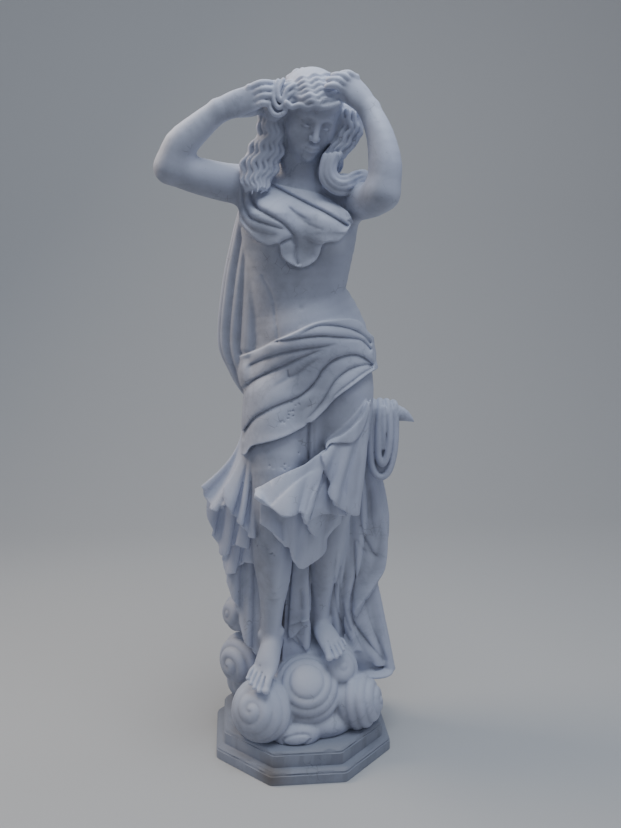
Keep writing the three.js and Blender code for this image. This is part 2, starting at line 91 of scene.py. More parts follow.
class Block:
    """A block of marble: the distance to its surface at each point of a grid, negative inside."""

    def __init__(self, low, high, step):
        self.step = step
        self.axes = [np.arange(a, b + step, step, dtype=np.float32) for a, b in zip(low, high)]
        self.depth = np.full([len(axis) for axis in self.axes], FAR, np.float32)

    def window(self, low, high):
        ends = [np.searchsorted(axis, (a, b)) for axis, a, b in zip(self.axes, low, high)]
        return tuple(slice(first, last) for first, last in ends)

    def points(self, window):
        return np.meshgrid(*(axis[w] for axis, w in zip(self.axes, window)), indexing="ij", sparse=True)

    def measure(self, parts, reach):
        """The distance to the nearest of some parts, in the window of the grid that holds them."""
        low = np.min([part[0] for part in parts], axis=0) - reach
        high = np.max([part[1] for part in parts], axis=0) + reach
        window = self.window(low, high)
        field = np.full([w.stop - w.start for w in window], reach, np.float32)
        for part_low, part_high, distance in parts:
            own = self.window(part_low - reach, part_high + reach)
            inner = tuple(slice(a.start - w.start, a.stop - w.start) for a, w in zip(own, window))
            if field[inner].size:
                np.minimum(field[inner], distance(*self.points(own)), out=field[inner])
        return window, field

    def add(self, parts, blend=4.0, reach=HALO):
        window, field = self.measure(parts, max(blend, reach))
        self.depth[window] = soft_min(self.depth[window], field, blend)

    def cut(self, parts, blend=3.0):
        window, field = self.measure(parts, max(blend, 6.0))
        self.depth[window] = -soft_min(-self.depth[window], field, blend)

    def front(self, x, z):
        """How far back the front of the marble is, at each x and z."""
        x, z = np.atleast_1d(x), np.atleast_1d(z)
        column = self.depth[
            np.clip(np.rint((x - self.axes[0][0]) / self.step).astype(int), 0, len(self.axes[0]) - 1),
            :,
            np.clip(np.rint((z - self.axes[2][0]) / self.step).astype(int), 0, len(self.axes[2]) - 1),
        ]
        first = np.argmax(column < 0, axis=1)
        return np.where((column < 0).any(axis=1), self.axes[1][first], 0.0)

    def at(self, places):
        """The distance at any places, measured between the grid's points."""
        index = (places - [axis[0] for axis in self.axes]) / self.step
        base = np.clip(np.floor(index).astype(int), 0, np.array(self.depth.shape) - 2)
        share = np.clip(index - base, 0, 1)
        total = 0
        for corner in np.ndindex(2, 2, 2):
            weight = np.prod(np.where(corner, share, 1 - share), axis=1)
            total = total + weight * self.depth[tuple((base + corner).T)]
        return total


def smooth(points, steps):
    """A smooth curve through points of any kind, with this many steps from each to the next."""
    p = np.asarray(points, float)
    p = np.vstack([2 * p[0] - p[1], p, 2 * p[-1] - p[-2]])
    t = np.arange(steps)[:, None] / steps
    stretches = [
        (2 * b + (c - a) * t + (2 * a - 5 * b + 4 * c - d) * t**2 + (3 * b - a - 3 * c + d) * t**3) / 2
        for a, b, c, d in zip(p, p[1:], p[2:], p[3:])
    ]
    return np.vstack([*stretches, p[-2:-1]])


def along(points, u):
    """The places at u, from 0 to 1, on the smooth curve through some points."""
    dense = smooth(points, 12)
    k = np.asarray(u) * (len(dense) - 1)
    return np.stack([np.interp(k, np.arange(len(dense)), column) for column in dense.T], axis=-1)


def oval(start, end, face):
    """A stretch of limb between two stations of (x, y, z, half width, half depth)."""
    a, b = start[:3], end[:3]
    way = b - a
    length = max(np.linalg.norm(way), 1e-3)
    unit = way / length
    wide = np.cross(face, unit)
    wide /= max(np.linalg.norm(wide), 1e-6)
    deep = np.cross(unit, wide)
    girth = max(*start[3:5], *end[3:5])
    is_round = start[3] == start[4] and end[3] == end[4]

    def distance(x, y, z):
        px, py, pz = x - a[0], y - a[1], z - a[2]
        s = px * unit[0] + py * unit[1] + pz * unit[2]
        t = np.clip(s / length, 0, 1)
        w = start[3] + t * (end[3] - start[3])
        if is_round:
            past = s - t * length
            across = px * px + py * py + pz * pz - s * s
            return np.sqrt(np.maximum(across, 0) + past * past) - w
        d = start[4] + t * (end[4] - start[4])
        u = px * wide[0] + py * wide[1] + pz * wide[2]
        v = px * deep[0] + py * deep[1] + pz * deep[2]
        e = s - t * length
        m = np.minimum(w, d)
        k0 = np.sqrt((u / w) ** 2 + (v / d) ** 2 + (e / m) ** 2 + 1e-6)
        k1 = np.sqrt((u / w**2) ** 2 + (v / d**2) ** 2 + (e / m**2) ** 2 + 1e-6 / m**2)
        return k0 * (k0 - 1) / k1

    return np.minimum(a, b) - girth, np.maximum(a, b) + girth, distance


def limb(stations, face=(0, 1, 0), steps=3):
    """An oval limb through stations of (x, y, z, half width, half depth). The depth is along face."""
    path = smooth([s if len(s) == 5 else (*s, s[3]) for s in stations], steps)
    path[:, 3:] = np.maximum(path[:, 3:], 0.6)
    return [oval(a, b, face) for a, b in zip(path, path[1:])]


def ball(centre, halves, turn=(0, 0, 0)):
    """An egg with three half sizes, turned about X, Y and Z in degrees."""
    centre, halves = np.asarray(centre, float), np.asarray(halves, float)
    axes = np.array(Euler([math.radians(a) for a in turn]).to_matrix())
    spread = np.abs(axes) @ halves

    def distance(x, y, z):
        p = (x - centre[0], y - centre[1], z - centre[2])
        q = [sum(axes[i][j] * p[i] for i in range(3)) for j in range(3)]
        k0 = np.sqrt(sum((c / h) ** 2 for c, h in zip(q, halves)) + 1e-6)
        k1 = np.sqrt(sum((c / h**2) ** 2 for c, h in zip(q, halves)) + 1e-6 / min(halves) ** 2)
        return k0 * (k0 - 1) / k1

    return [(centre - spread, centre + spread, distance)]


marble = Block(BLOCK_LOW - HALO, BLOCK_HIGH + HALO, GRID)

TRUNK = [
    (30, 8, 930, 146, 90),
    (30, 6, 1010, 156, 100),
    (30, 6, 1080, 150, 94),
    (14, 6, 1145, 136, 86),
    (-3, 4, 1208, 119, 78),
    (-2, 0, 1290, 129, 86),
    (1, 0, 1360, 140, 92),
    (2, 10, 1415, 142, 78),
    (-2, 16, 1462, 112, 56),
    (4, 14, 1484, 62, 44),
]
NECK = [(2, 12, 1460, 52, 48), (8, -4, 1520, 44, 46), (18, -22, 1590, 46, 48)]
LEGS = [
    [
        (-60, -18, 940, 78, 84),
        (-64, -44, 850, 78, 78),
        (-70, -82, 745, 60, 62),
        (-74, -92, 690, 54, 54),
        (-78, -74, 620, 52, 52),
        (-78, -56, 545, 52, 56),
        (-76, -48, 480, 44, 52),
        (-80, -52, 410, 32, 37),
        (-84, -54, 345, 27, 30),
        (-84, -52, 300, 28, 32),
    ],
    [
        (98, -4, 950, 84, 88),
        (98, -16, 860, 80, 82),
        (92, -30, 745, 62, 64),
        (86, -32, 690, 54, 54),
        (76, -16, 620, 50, 52),
        (70, 0, 545, 50, 58),
        (64, 8, 480, 42, 52),
        (56, 12, 410, 31, 36),
        (52, 12, 350, 27, 30),
        (52, 14, 300, 27, 32),
    ],
]
for leg in LEGS:
    marble.add(limb(leg), blend=24, reach=FAR)
marble.add(limb(TRUNK), blend=36, reach=FAR)
marble.add(limb(NECK), blend=26, reach=FAR)
marble.add(limb([(16, -40, 950, 44, 56), (16, -44, 860, 40, 54), (12, -44, 780, 34, 48),
                 (10, -40, 690, 26, 36)]), blend=20, reach=FAR)
marble.add(ball((96, 2, 1436), (54, 50, 42)), blend=24, reach=FAR)
marble.add(limb([(-112, 8, 1472, 36, 44), (-120, 6, 1410, 30, 44), (-118, 10, 1340, 22, 40)]), blend=20,
           reach=FAR)
marble.add(limb([(-112, 26, 1370, 24, 34), (-118, 24, 1230, 26, 36), (-128, 24, 1080, 26, 40)]), blend=8,
           reach=FAR)
marble.add(limb([(-18, -30, 1474, 7), (-92, -16, 1484, 7)]), blend=18)
marble.add(limb([(22, -30, 1470, 7), (84, -28, 1464, 6)]), blend=18)
for side in (-1, 1):
    marble.add(limb([(22 + side * 26, -14, 1580, 10), (3 + side * 12, -32, 1476, 6)]), blend=16)
marble.add(ball((-60, -64, 1384), (56, 46, 52)), blend=28, reach=FAR)
marble.add(ball((56, -66, 1372), (54, 46, 52)), blend=28, reach=FAR)
marble.add(ball((14, -44, 1110), (88, 52, 70)), blend=40, reach=FAR)
for knee in ((-74, -140, 694), (86, -80, 692)):
    marble.add(ball(knee, (26, 14, 30)), blend=22)
marble.add(ball((-76, -104, 560), (14, 12, 90)), blend=30)
marble.cut(ball((-5, -84, 1186), (5, 7, 7)), blend=6)


# Feet: the instep from the ankle to the ball of the foot, then toes from the big one to the little one.
FEET = [
    dict(
        instep=[(-80, -40, 300, 24, 28), (-84, -74, 304, 27, 28), (-95, -106, 280, 31, 23),
                (-103, -124, 264, 32, 16),
                (-110, -137, 254, 31, 11)],
        roots=[(-90, -132, 256), (-130, -118, 266)],
        tips=[(-103, -174, 228), (-120, -172, 229), (-132, -165, 234), (-141, -156, 241),
              (-148, -146, 250)],
    ),
    dict(
        instep=[(53, 28, 304, 24, 28), (56, -4, 312, 27, 28), (66, -42, 308, 31, 22),
                (74, -64, 298, 32, 16),
                (80, -78, 290, 31, 11)],
        roots=[(58, -74, 294), (100, -62, 306)],
        tips=[(65, -114, 280), (82, -114, 282), (94, -108, 287), (103, -100, 294), (110, -92, 304)],
    ),
]
TOE_GIRTHS = (10.5, 7.5, 7, 6.5, 6)
for foot in FEET:
    marble.add(limb(foot["instep"], face=(0, 0, 1)), blend=14)
    first, last = np.array(foot["roots"], float)
    for k, (tip, girth) in enumerate(zip(foot["tips"], TOE_GIRTHS)):
        root, tip = first + (last - first) * k / 4, np.array(tip, float)
        knuckle = root + 0.55 * (tip - root) + (0, -1, 5)
        toe = limb([(*root, girth), (*knuckle, girth), (*tip, girth * 0.82)])
        marble.add(toe, blend=3.5)
        marble.add(ball(tip + (0, -1, 1), (girth * 0.95, girth, girth * 0.8)), blend=2.5)
    tips = np.array(foot["tips"], float)
    for k in range(4):
        share = 0.62 if k == 0 else 0.5
        end = tips[k] * (1 - share) + tips[k + 1] * share
        start = first + (last - first) * (k + share) / 4
        marble.cut(limb([(*(start + (0, -4, 12)), 1.4), (*(end + (0, -6, 2)), 2.4)]), blend=2)
for heel in ((-78, -34, 312), (52, 34, 306)):
    marble.add(ball(heel, (23, 28, 27)), blend=14)
for bone in ((-112, -58, 326), (-56, -60, 334), (24, 8, 326), (80, 8, 332)):
    marble.add(ball(bone, (7, 9, 10)), blend=12)

# Arms and hands. The elbows are lifted to both sides, and the fingers are in her hair.
ARMS = [
    [(-100, 20, 1478, 52, 48), (-180, -8, 1484, 46, 42), (-262, -42, 1500, 42, 38),
     (-312, -58, 1512, 35, 34)],
    [(-314, -60, 1514, 33, 35), (-288, -66, 1562, 38, 36), (-242, -72, 1604, 32, 29),
     (-196, -80, 1640, 26, 19)],
    [(104, 22, 1436, 50, 52), (134, -40, 1436, 44, 44), (162, -116, 1440, 42, 44),
     (174, -158, 1448, 38, 40)],
    [(178, -160, 1452, 38, 36), (184, -158, 1510, 39, 36), (174, -142, 1580, 32, 29),
     (152, -118, 1642, 25, 19)],
]
for arm, face in zip(ARMS, ((0, 1, 0), (0, 1, 0), (1, 0, 0), (0, 1, 0))):
    marble.add(limb(arm, face=face), blend=22)


def hand(wrist, knuckles, fan, tips, thumb):
    """A palm with four fingers, and a thumb through three points."""
    wrist, knuckles, fan = (np.array(p, float) for p in (wrist, knuckles, fan))
    middle = wrist + 0.5 * (knuckles - wrist)
    back = np.cross(knuckles - wrist, fan)
    palm = limb([(*wrist, 25, 17), (*middle, 30, 16), (*knuckles, 28, 11)], face=back)
    fingers = []
    for k, tip in enumerate(tips):
        root = knuckles + (k - 1.5) * fan
        tip = np.array(tip, float)
        lift = np.array((0, -10, 4))
        joint = root + 0.45 * (tip - root) + lift
        last = root + 0.8 * (tip - root) + 0.6 * lift
        fingers += limb([(*root, 8.6), (*joint, 8.2), (*last, 7.2), (*tip, 6.2)])
        fingers += ball(root + 0.2 * lift, (9, 9, 9))
    fingers += limb([(*p, g) for p, g in zip(thumb, (14, 12, 10, 8))])
    return palm, fingers


HANDS = [
    hand(
        (-196, -80, 1640),
        (-119, -94, 1667),
        (4, 0, -13.5),
        [(-70, -92, 1700), (-68, -98, 1685), (-70, -100, 1670), (-76, -100, 1651)],
        [(-176, -72, 1640), (-142, -72, 1638), (-112, -74, 1640), (-84, -78, 1652)],
    ),
    hand(
        (152, -118, 1642),
        (104, -116, 1697),
        (11, 4, 9.5),
        [(50, -134, 1687), (54, -130, 1702), (66, -122, 1714), (84, -108, 1719)],
        [(140, -108, 1646), (118, -108, 1657), (96, -112, 1666), (72, -114, 1672)],
    ),
]


# ---------------------------------------------------------------- head and face
# Her head, carved in the block: bowed, leaning a little and turned. The face is a plain classical
# one, with the eyes half way down the head and the rest in thirds of the face.

HEAD_CENTRE = np.array((22, -50, 1642))
HEAD_SCALE = 0.92
HEAD_TURN = Euler([math.radians(a) for a in (28, 7, 14)]).to_matrix()
BROW, NOSE, CHIN = 14, -44, -102
MOUTH = NOSE + (CHIN - NOSE) / 3
EYE_APART = 27


def set_on_head(points):
    """Points of the upright head, with sizes behind them, in their places on the block."""
    p = np.asarray(points, float)
    placed = p[:, :3] @ np.array(HEAD_TURN).T * HEAD_SCALE + HEAD_CENTRE
    return np.hstack([placed, p[:, 3:] * HEAD_SCALE])


HEAD_FACE = np.array(HEAD_TURN) @ (0, 1, 0)


def head_limb(stations):
    return limb([tuple(s) for s in set_on_head(stations)], face=HEAD_FACE)


def head_ball(centre, halves):
    turned = [math.degrees(a) for a in HEAD_TURN.to_euler()]
    return ball(set_on_head([centre])[0], np.array(halves) * HEAD_SCALE, turned)


marble.add(head_ball((0, 8, 14), (74, 84, 84)), blend=12)
marble.add(head_ball((0, -12, -18), (66, 62, 84)), blend=16)
marble.add(head_ball((0, -34, -70), (40, 38, 34)), blend=18)
marble.add(head_ball((0, -62, CHIN + 12), (15, 14, 13)), blend=14)
for side in (-1, 1):
    marble.add(head_ball((side * 36, -46, -34), (22, 18, 24)), blend=20)
    marble.cut(head_ball((side * EYE_APART, -83, -4), (18, 14, 11)), blend=12)
marble.add(head_limb([(0, -72, 12, 7), (0, -79, -12, 7), (0, -88, NOSE + 9, 8)]), blend=9)
marble.add(head_ball((0, -87, NOSE + 6), (8.5, 9, 8)), blend=5)
for side in (-1, 1):
    brow = [(side * 8, -75, BROW - 5, 4), (side * 26, -70, BROW + 1, 5), (side * 46, -50, BROW - 4, 3.5)]
    marble.add(head_limb(brow), blend=8)
    marble.add(head_ball((side * EYE_APART, -56, -7), (15, 14, 12.5)), blend=2)
    lid = [(side * 12, -69, -11, 2), (side * 26, -74, -12, 3), (side * 41, -62, -9, 2)]
    marble.add(head_limb(lid), blend=2)
    marble.cut(head_limb([(side * 12, -71, -16, 1), (side * 26, -74, -18, 1.8),
                          (side * 40, -64, -13, 1)]), blend=1.5)
    marble.cut(head_limb([(side * 13, -70, -3, 1), (side * 27, -72, 1, 2), (side * 41, -61, -1, 1)]),
               blend=3)
    marble.add(head_ball((side * 11, -78, NOSE + 5), (6.5, 8, 6.5)), blend=4)
    marble.cut(head_ball((side * 5, -85, NOSE - 2), (3, 4, 2.5)), blend=2)
    marble.cut(head_limb([(side * 15, -78, NOSE + 4, 1), (side * 26, -70, MOUTH + 2, 1.6)]), blend=7)
marble.add(head_ball((0, -66, MOUTH - 2), (22, 15, 15)), blend=12)
marble.add(head_limb([(-19, -71, MOUTH, 2.6), (-7, -81, MOUTH + 5, 4.4), (0, -81, MOUTH + 3.5, 4),
                      (7, -81, MOUTH + 5, 4.4), (19, -71, MOUTH, 2.6)]), blend=3)
marble.add(head_limb([(-15, -73, MOUTH - 6, 3), (0, -81, MOUTH - 8, 5.6), (15, -73, MOUTH - 6, 3)]),
           blend=3)
marble.cut(head_limb([(-21, -75, MOUTH - 1, 1.4), (0, -87, MOUTH - 1, 2.4), (21, -75, MOUTH - 1, 1.4)]),
           blend=2)
marble.cut(head_limb([(0, -88, MOUTH + 16, 1.5), (0, -87, MOUTH + 10, 2.4)]), blend=4)
marble.cut(head_limb([(-12, -80, MOUTH - 17, 2), (0, -84, MOUTH - 18, 3), (12, -80, MOUTH - 17, 2)]),
           blend=9)

# ---------------------------------------------------------------- cloth that clings to her
# A bodice over one shoulder and a wrap round the hips. Both lie close on the body, with their folds
# worked in the same marble, and their edges are undercut a little so that they throw a shadow.


def nearest_on(path, x, z):
    """For each x and z: how far the path is, how far along it that is, and which side of it."""
    best = np.full((len(x), len(z)), np.inf)
    share, side = np.zeros_like(best), np.zeros_like(best)
    for i, (a, b) in enumerate(zip(path, path[1:])):
        way = b - a
        px, pz = x[:, None] - a[0], z[None, :] - a[1]
        t = np.clip((px * way[0] + pz * way[1]) / max(way @ way, 1e-6), 0, 1)
        gap = (px - t * way[0]) ** 2 + (pz - t * way[1]) ** 2
        closer = gap < best
        best = np.where(closer, gap, best)
        share = np.where(closer, (i + t) / (len(path) - 1), share)
        side = np.where(closer, way[0] * pz - way[1] * px, side)
    return np.sqrt(best), share, side > 0


def folds(creases, x, z):
    """How much the creases of a cloth sink it or lift it. A lip is raised on a crease's left."""
    total = np.zeros((len(x), len(z)))
    for points, sink, width, lip, fade_in, fade_out in creases:
        gap, share, left = nearest_on(smooth(points, 6), x, z)
        rise = np.clip(share / max(fade_in, 1e-3), 0, 1)
        taper = rise * np.clip((1 - share) / max(fade_out, 1e-3), 0, 1)
        taper = taper * (2 - taper)
        lift = lip * left * (1 - np.exp(-gap / 1.5)) * np.exp(-gap / (3.2 * width))
        total += taper * (lift - sink * np.exp(-gap / width))
    return total


def inside(outline, x, z):
    """The distance to the edge of an outline of (x, z) points, negative inside it."""
    closed = np.vstack([outline, outline[:1]])
    gap, _, _ = nearest_on(closed, x, z)
    crossings = np.zeros(gap.shape, int)
    for (ax, az), (bx, bz) in zip(closed, closed[1:]):
        if az != bz:
            within = ((z >= az) != (z >= bz))[None, :]
            meets = ax + (z - az) * (bx - ax) / (bz - az)
            crossings += within & (x[:, None] < meets[None, :])
    return np.where(crossings % 2 == 1, -gap, gap)


def work(creases, back):
    """Works creases into whatever marble lies before `back`."""
    for one in creases:
        path, margin = np.array(one[0], float), 4 * one[2] + 8
        (x0, z0), (x1, z1) = path.min(axis=0) - margin, path.max(axis=0) + margin
        window = marble.window((x0, BLOCK_LOW[1] - ROOM, z0), (x1, back, z1))
        x, y, z = marble.points(window)
        lift = folds([one], x[:, 0, 0], z[0, 0, :])
        marble.depth[window] -= lift[:, None, :] * np.clip((back - y) / 16, 0, 1)


def dress(top, hem, thickness, creases=(), flare=0.0, back=None, undercut=0.0):
    """Lays a cloth on the marble between a top edge and a hem of (x, z), as far back as `back`."""
    outline = np.vstack([smooth(top, 8), smooth(hem[::-1], 8)])
    (x0, z0), (x1, z1) = outline.min(axis=0) - 20, outline.max(axis=0) + 20
    window = marble.window((x0, BLOCK_LOW[1] - ROOM, z0),
                           (x1, BLOCK_HIGH[1] + ROOM if back is None else back + 6, z1))
    x, y, z = marble.points(window)
    edge = inside(outline, x[:, 0, 0], z[0, 0, :])
    to_hem, _, _ = nearest_on(smooth(hem, 8), x[:, 0, 0], z[0, 0, :])
    lift = thickness + flare * np.exp(-to_hem / 14) + folds(creases, x[:, 0, 0], z[0, 0, :])
    below = undercut * np.exp(-to_hem / 5) * (edge > 0)
    bare = marble.depth[window]
    cloth = bare - lift[:, None, :]
    bare = bare + below[:, None, :]
    cloth = -soft_min(-cloth, -edge[:, None, :].repeat(bare.shape[1], axis=1), 4)
    if back is not None:
        cloth = np.maximum(cloth, y - back)
    marble.depth[window] = soft_min(bare, cloth, 2)


BODICE_TOP = [(-150, 1492), (-112, 1494), (-70, 1482), (-25, 1470), (45, 1455), (100, 1418), (122, 1388)]
BODICE_HEM = [
    (-152, 1392), (-134, 1368), (-112, 1346), (-84, 1334), (-60, 1336), (-50, 1306), (-30, 1289),
    (-6, 1281), (18, 1289), (35, 1306), (44, 1334), (60, 1341), (84, 1344), (102, 1362), (112, 1378),
]
dress(
    BODICE_TOP,
    BODICE_HEM,
    7,
    creases=[
        ([(-84, 1486), (-72, 1479), (-37, 1458), (0, 1438), (39, 1417), (74, 1397), (108, 1378)], 9, 5, 6,
         0.12, 0.02),
        ([(-54, 1437), (-28, 1416), (-1, 1398), (24, 1384)], 4, 6, 2, 0.4, 0.5),
        ([(-36, 1424), (-12, 1400), (20, 1378), (60, 1364)], 3, 7, 2, 0.4, 0.5),
        ([(-126, 1470), (-119, 1446), (-107, 1420), (-76, 1400), (-50, 1385), (-31, 1367), (-21, 1354),
          (-18, 1334)],
         10, 5, 6, 0.15, 0.1),
        ([(-139, 1474), (-139, 1440), (-133, 1415), (-120, 1396), (-94, 1385), (-68, 1377), (-44, 1368)],
         8, 5, 5, 0.15, 0.2),
        ([(-148, 1440), (-146, 1404), (-132, 1382), (-112, 1368), (-84, 1360), (-58, 1357)], 5, 6, 3, 0.2,
         0.4),
        ([(-92, 1331), (-66, 1333), (-50, 1342), (-36, 1348), (-20, 1352)], 8, 4, 6, 0.2, 0.2),
        ([(-20, 1354), (-17, 1330), (-19, 1306), (-13, 1286)], 8, 5, 0, 0.2, 0.05),
        ([(-2, 1352), (20, 1341), (40, 1335), (62, 1341)], 5, 6, 5, 0.3, 0.3),
        ([(10, 1336), (24, 1318), (26, 1296)], 3, 8, 0, 0.4, 0.3),
    ],
    flare=10,
    back=16,
    undercut=6,
)
# the line of the shift down her side
work([([(-98, 1262), (-94, 1254), (-73, 1208), (-67, 1162), (-62, 1119), (-64, 1096)], 3.5, 2.6, 0, 0.05,
       0.05)], back=0)

WRAP_TOP = [(-200, 1024), (-160, 1052), (-140, 1064), (-104, 1082), (-73, 1102), (-27, 1124), (24, 1147),
            (75, 1155), (121, 1154), (150, 1143), (172, 1118), (200, 1096)]
WRAP_HEM = [(-200, 800), (-150, 818), (-130, 846), (-100, 858), (-70, 867), (-26, 882), (15, 902),
            (51, 933), (77, 962), (113, 987), (162, 1015), (200, 1026)]
dress(
    WRAP_TOP,
    WRAP_HEM,
    10,
    creases=[
        ([(-12, 1120), (24, 1138), (50, 1143), (88, 1139), (127, 1128), (156, 1112), (178, 1090)], 8, 5,
         4, 0.25, 0.02),
        ([(-84, 1094), (-71, 1101), (-27, 1110), (37, 1117), (88, 1113), (127, 1108), (153, 1099),
          (178, 1074)], 8, 5, 5, 0.25, 0.02),
        ([(-172, 990), (-160, 1008), (-148, 1022), (-125, 1040), (-91, 1060), (-53, 1075), (-14, 1084),
          (37, 1091), (88, 1097)], 8, 6, 5, 0.1, 0.25),
        ([(-172, 930), (-160, 954), (-150, 974), (-141, 986), (-117, 1006), (-92, 1021), (-53, 1042),
          (-14, 1062), (24, 1077), (50, 1084)], 8, 6, 5, 0.1, 0.3),
        ([(-84, 988), (-41, 1012), (-15, 1026), (11, 1047), (42, 1064)], 4, 7, 2, 0.5, 0.3),
        ([(-156, 852), (-146, 876), (-124, 912), (-93, 935), (-62, 950), (-16, 967), (10, 985),
          (33, 1011), (46, 1034),
          (74, 1057), (108, 1067), (139, 1065), (165, 1051), (182, 1036)], 9, 6, 6, 0.03, 0.02),
        ([(-2, 906), (23, 929), (49, 960), (74, 1001), (100, 1024), (126, 1036), (160, 1040),
          (182, 1034)], 7, 6, 4, 0.35, 0.02),
        ([(52, 936), (78, 972), (112, 998), (150, 1020), (182, 1030)], 4, 4, 3, 0.4, 0.02),
        ([(-20, 925), (10, 945), (30, 975)], 3, 7, 0, 0.5, 0.5),
    ],
    flare=7,
    undercut=7,
)
marble.add(ball((-136, 24, 1012), (24, 60, 46)), blend=16)
work([([(14, 905), (13, 876), (12, 841), (14, 780)], 12, 4.5, 0, 0.05, 0.05),
      ([(25, 905), (26, 860), (29, 800)], 4, 5, 0, 0.1, 0.1)], back=-20)

# Pits and bruises in the stone of her thigh and shin, and a chip out of the wrap.
random = np.random.default_rng(3)
for x, z, count, width in ((-46, 800, 9, 16), (-56, 906, 4, 6), (-44, 916, 4, 6), (-32, 931, 5, 8),
                           (-18, 950, 4, 6),
                           (-102, 590, 6, 9), (-84, 572, 6, 10)):
    for dx, dz, size in zip(*random.normal(0, 1, (2, count)), random.uniform(1.3, 2.6, count)):
        px, pz = x + width * dx, z + 0.5 * width * dz
        marble.cut(ball((px, marble.front(px, pz)[0] - 0.5, pz), (size * 1.3, 2.2, size)), blend=1.5)
marble.cut(limb([(-39, marble.front(-39, 1030)[0], 1031, 2), (-37, marble.front(-37, 1020)[0], 1017, 3)]),
           blend=2)

# ---------------------------------------------------------------- cloth that hangs free
# Flounces fall from the wrap before the knees and down the left side. Each is a thin cloth between
# a top edge and a hem, and it ripples more and more towards the hem.


def skin(points, quads):
    """A closed skin of quads as one part."""
    points = np.asarray(points, np.float32)
    quads = np.asarray(quads, np.uint32)

    def distance(x, y, z):
        step = marble.step
        start = np.array([x.flat[0], y.flat[0], z.flat[0]], np.float32)
        grid = openvdb.FloatGrid.createLevelSetFromPolygons(
            (points - start) / step, quads=quads, halfWidth=HALO / step
        )
        field = np.empty((x.size, y.size, z.size), np.float32)
        grid.copyToArray(field)
        return field * step

    return points.min(axis=0), points.max(axis=0), distance


def slab(places, thickness):
    """A cloth of some thickness, half on each side of a sheet of places."""
    du, dv = np.gradient(places, axis=0), np.gradient(places, axis=1)
    normal = np.cross(du, dv)
    normal /= np.maximum(np.linalg.norm(normal, axis=2, keepdims=True), 1e-6)
    half = normal * np.broadcast_to(thickness, places.shape[:2])[..., None] / 2
    n, m = places.shape[:2]
    points = np.concatenate([(places + half).reshape(-1, 3), (places - half).reshape(-1, 3)])
    index = np.arange(n * m).reshape(n, m)
    rims = [index[:, 0], index[:, -1], index[0, :], index[-1, :]]
    corners = [index[:-1, :-1], index[1:, :-1], index[1:, 1:], index[:-1, 1:]]
    face = np.stack(corners, axis=-1).reshape(-1, 4)
    quads = [face, face + n * m]
    for rim in rims:
        quads.append(np.stack([rim[:-1], rim[1:], rim[1:] + n * m, rim[:-1] + n * m], axis=-1))
    return skin(points, np.concatenate(quads))


def before(points):
    """Places just before the marble from (x, z, how far before it), as a cloth spans the hollows."""
    x, z, proud = np.array(points, float).T
    spans = np.arange(-60, 61, 6)
    near = [marble.front(x + span, z) + 0.3 * abs(span) for span in spans]
    return np.stack([x, np.min(near, axis=0) - proud, z], axis=1)


def flounce(top, hem, waves=2.0, depth=14.0, phase=0.0, flare=1.0, thickness=7.0, gather=0.0):
    u, v = np.meshgrid(np.linspace(0, 1, 120), np.linspace(0, 1, 40), indexing="ij")
    start, end = along(top, u), along(hem, u)
    places = start + (end - start) * v[..., None]
    places[..., 0] = start[..., 0] + (end[..., 0] - start[..., 0]) * v**flare
    turn = 2 * np.pi * (waves * u + phase)
    places[..., 1] -= depth * v**0.8 * (np.sin(turn) + 0.25 * np.sin(2 * turn))
    places[..., 0] += gather * v * np.sin(2 * turn)
    return [slab(places, thickness)]


# The narrow cloth between her ankles, folded back and forth down to its hem.
marble.add(limb([(0, 22, 600, 60, 26), (0, 20, 430, 62, 26), (2, 16, 250, 64, 30)]), blend=6)
marble.add(flounce([(-32, 12, 560), (-4, 4, 560), (26, 14, 560)],
                   [(-54, -32, 244), (-14, -42, 250), (20, -34, 258)],
                   waves=1, depth=6, phase=0.25, thickness=14), blend=4)
for top, hem in (
    ([(-20, 560), (20, 560)], [(-36, 348), (-12, 355), (20, 364)]),
    ([(-20, 560), (20, 560)], [(-38, 322), (-28, 311), (8, 343), (20, 350)]),
    ([(-20, 560), (20, 560)], [(-40, 296), (-29, 303), (6, 273), (20, 282)]),
):
    dress(top, hem, 3.5, flare=2, back=-5, undercut=4)
work([([(-2, 440), (0, 380)], 5, 6, 0, 0.2, 0.1), ([(-18, 310), (10, 262)], 5, 4, 3, 0.1, 0.1)], back=20)

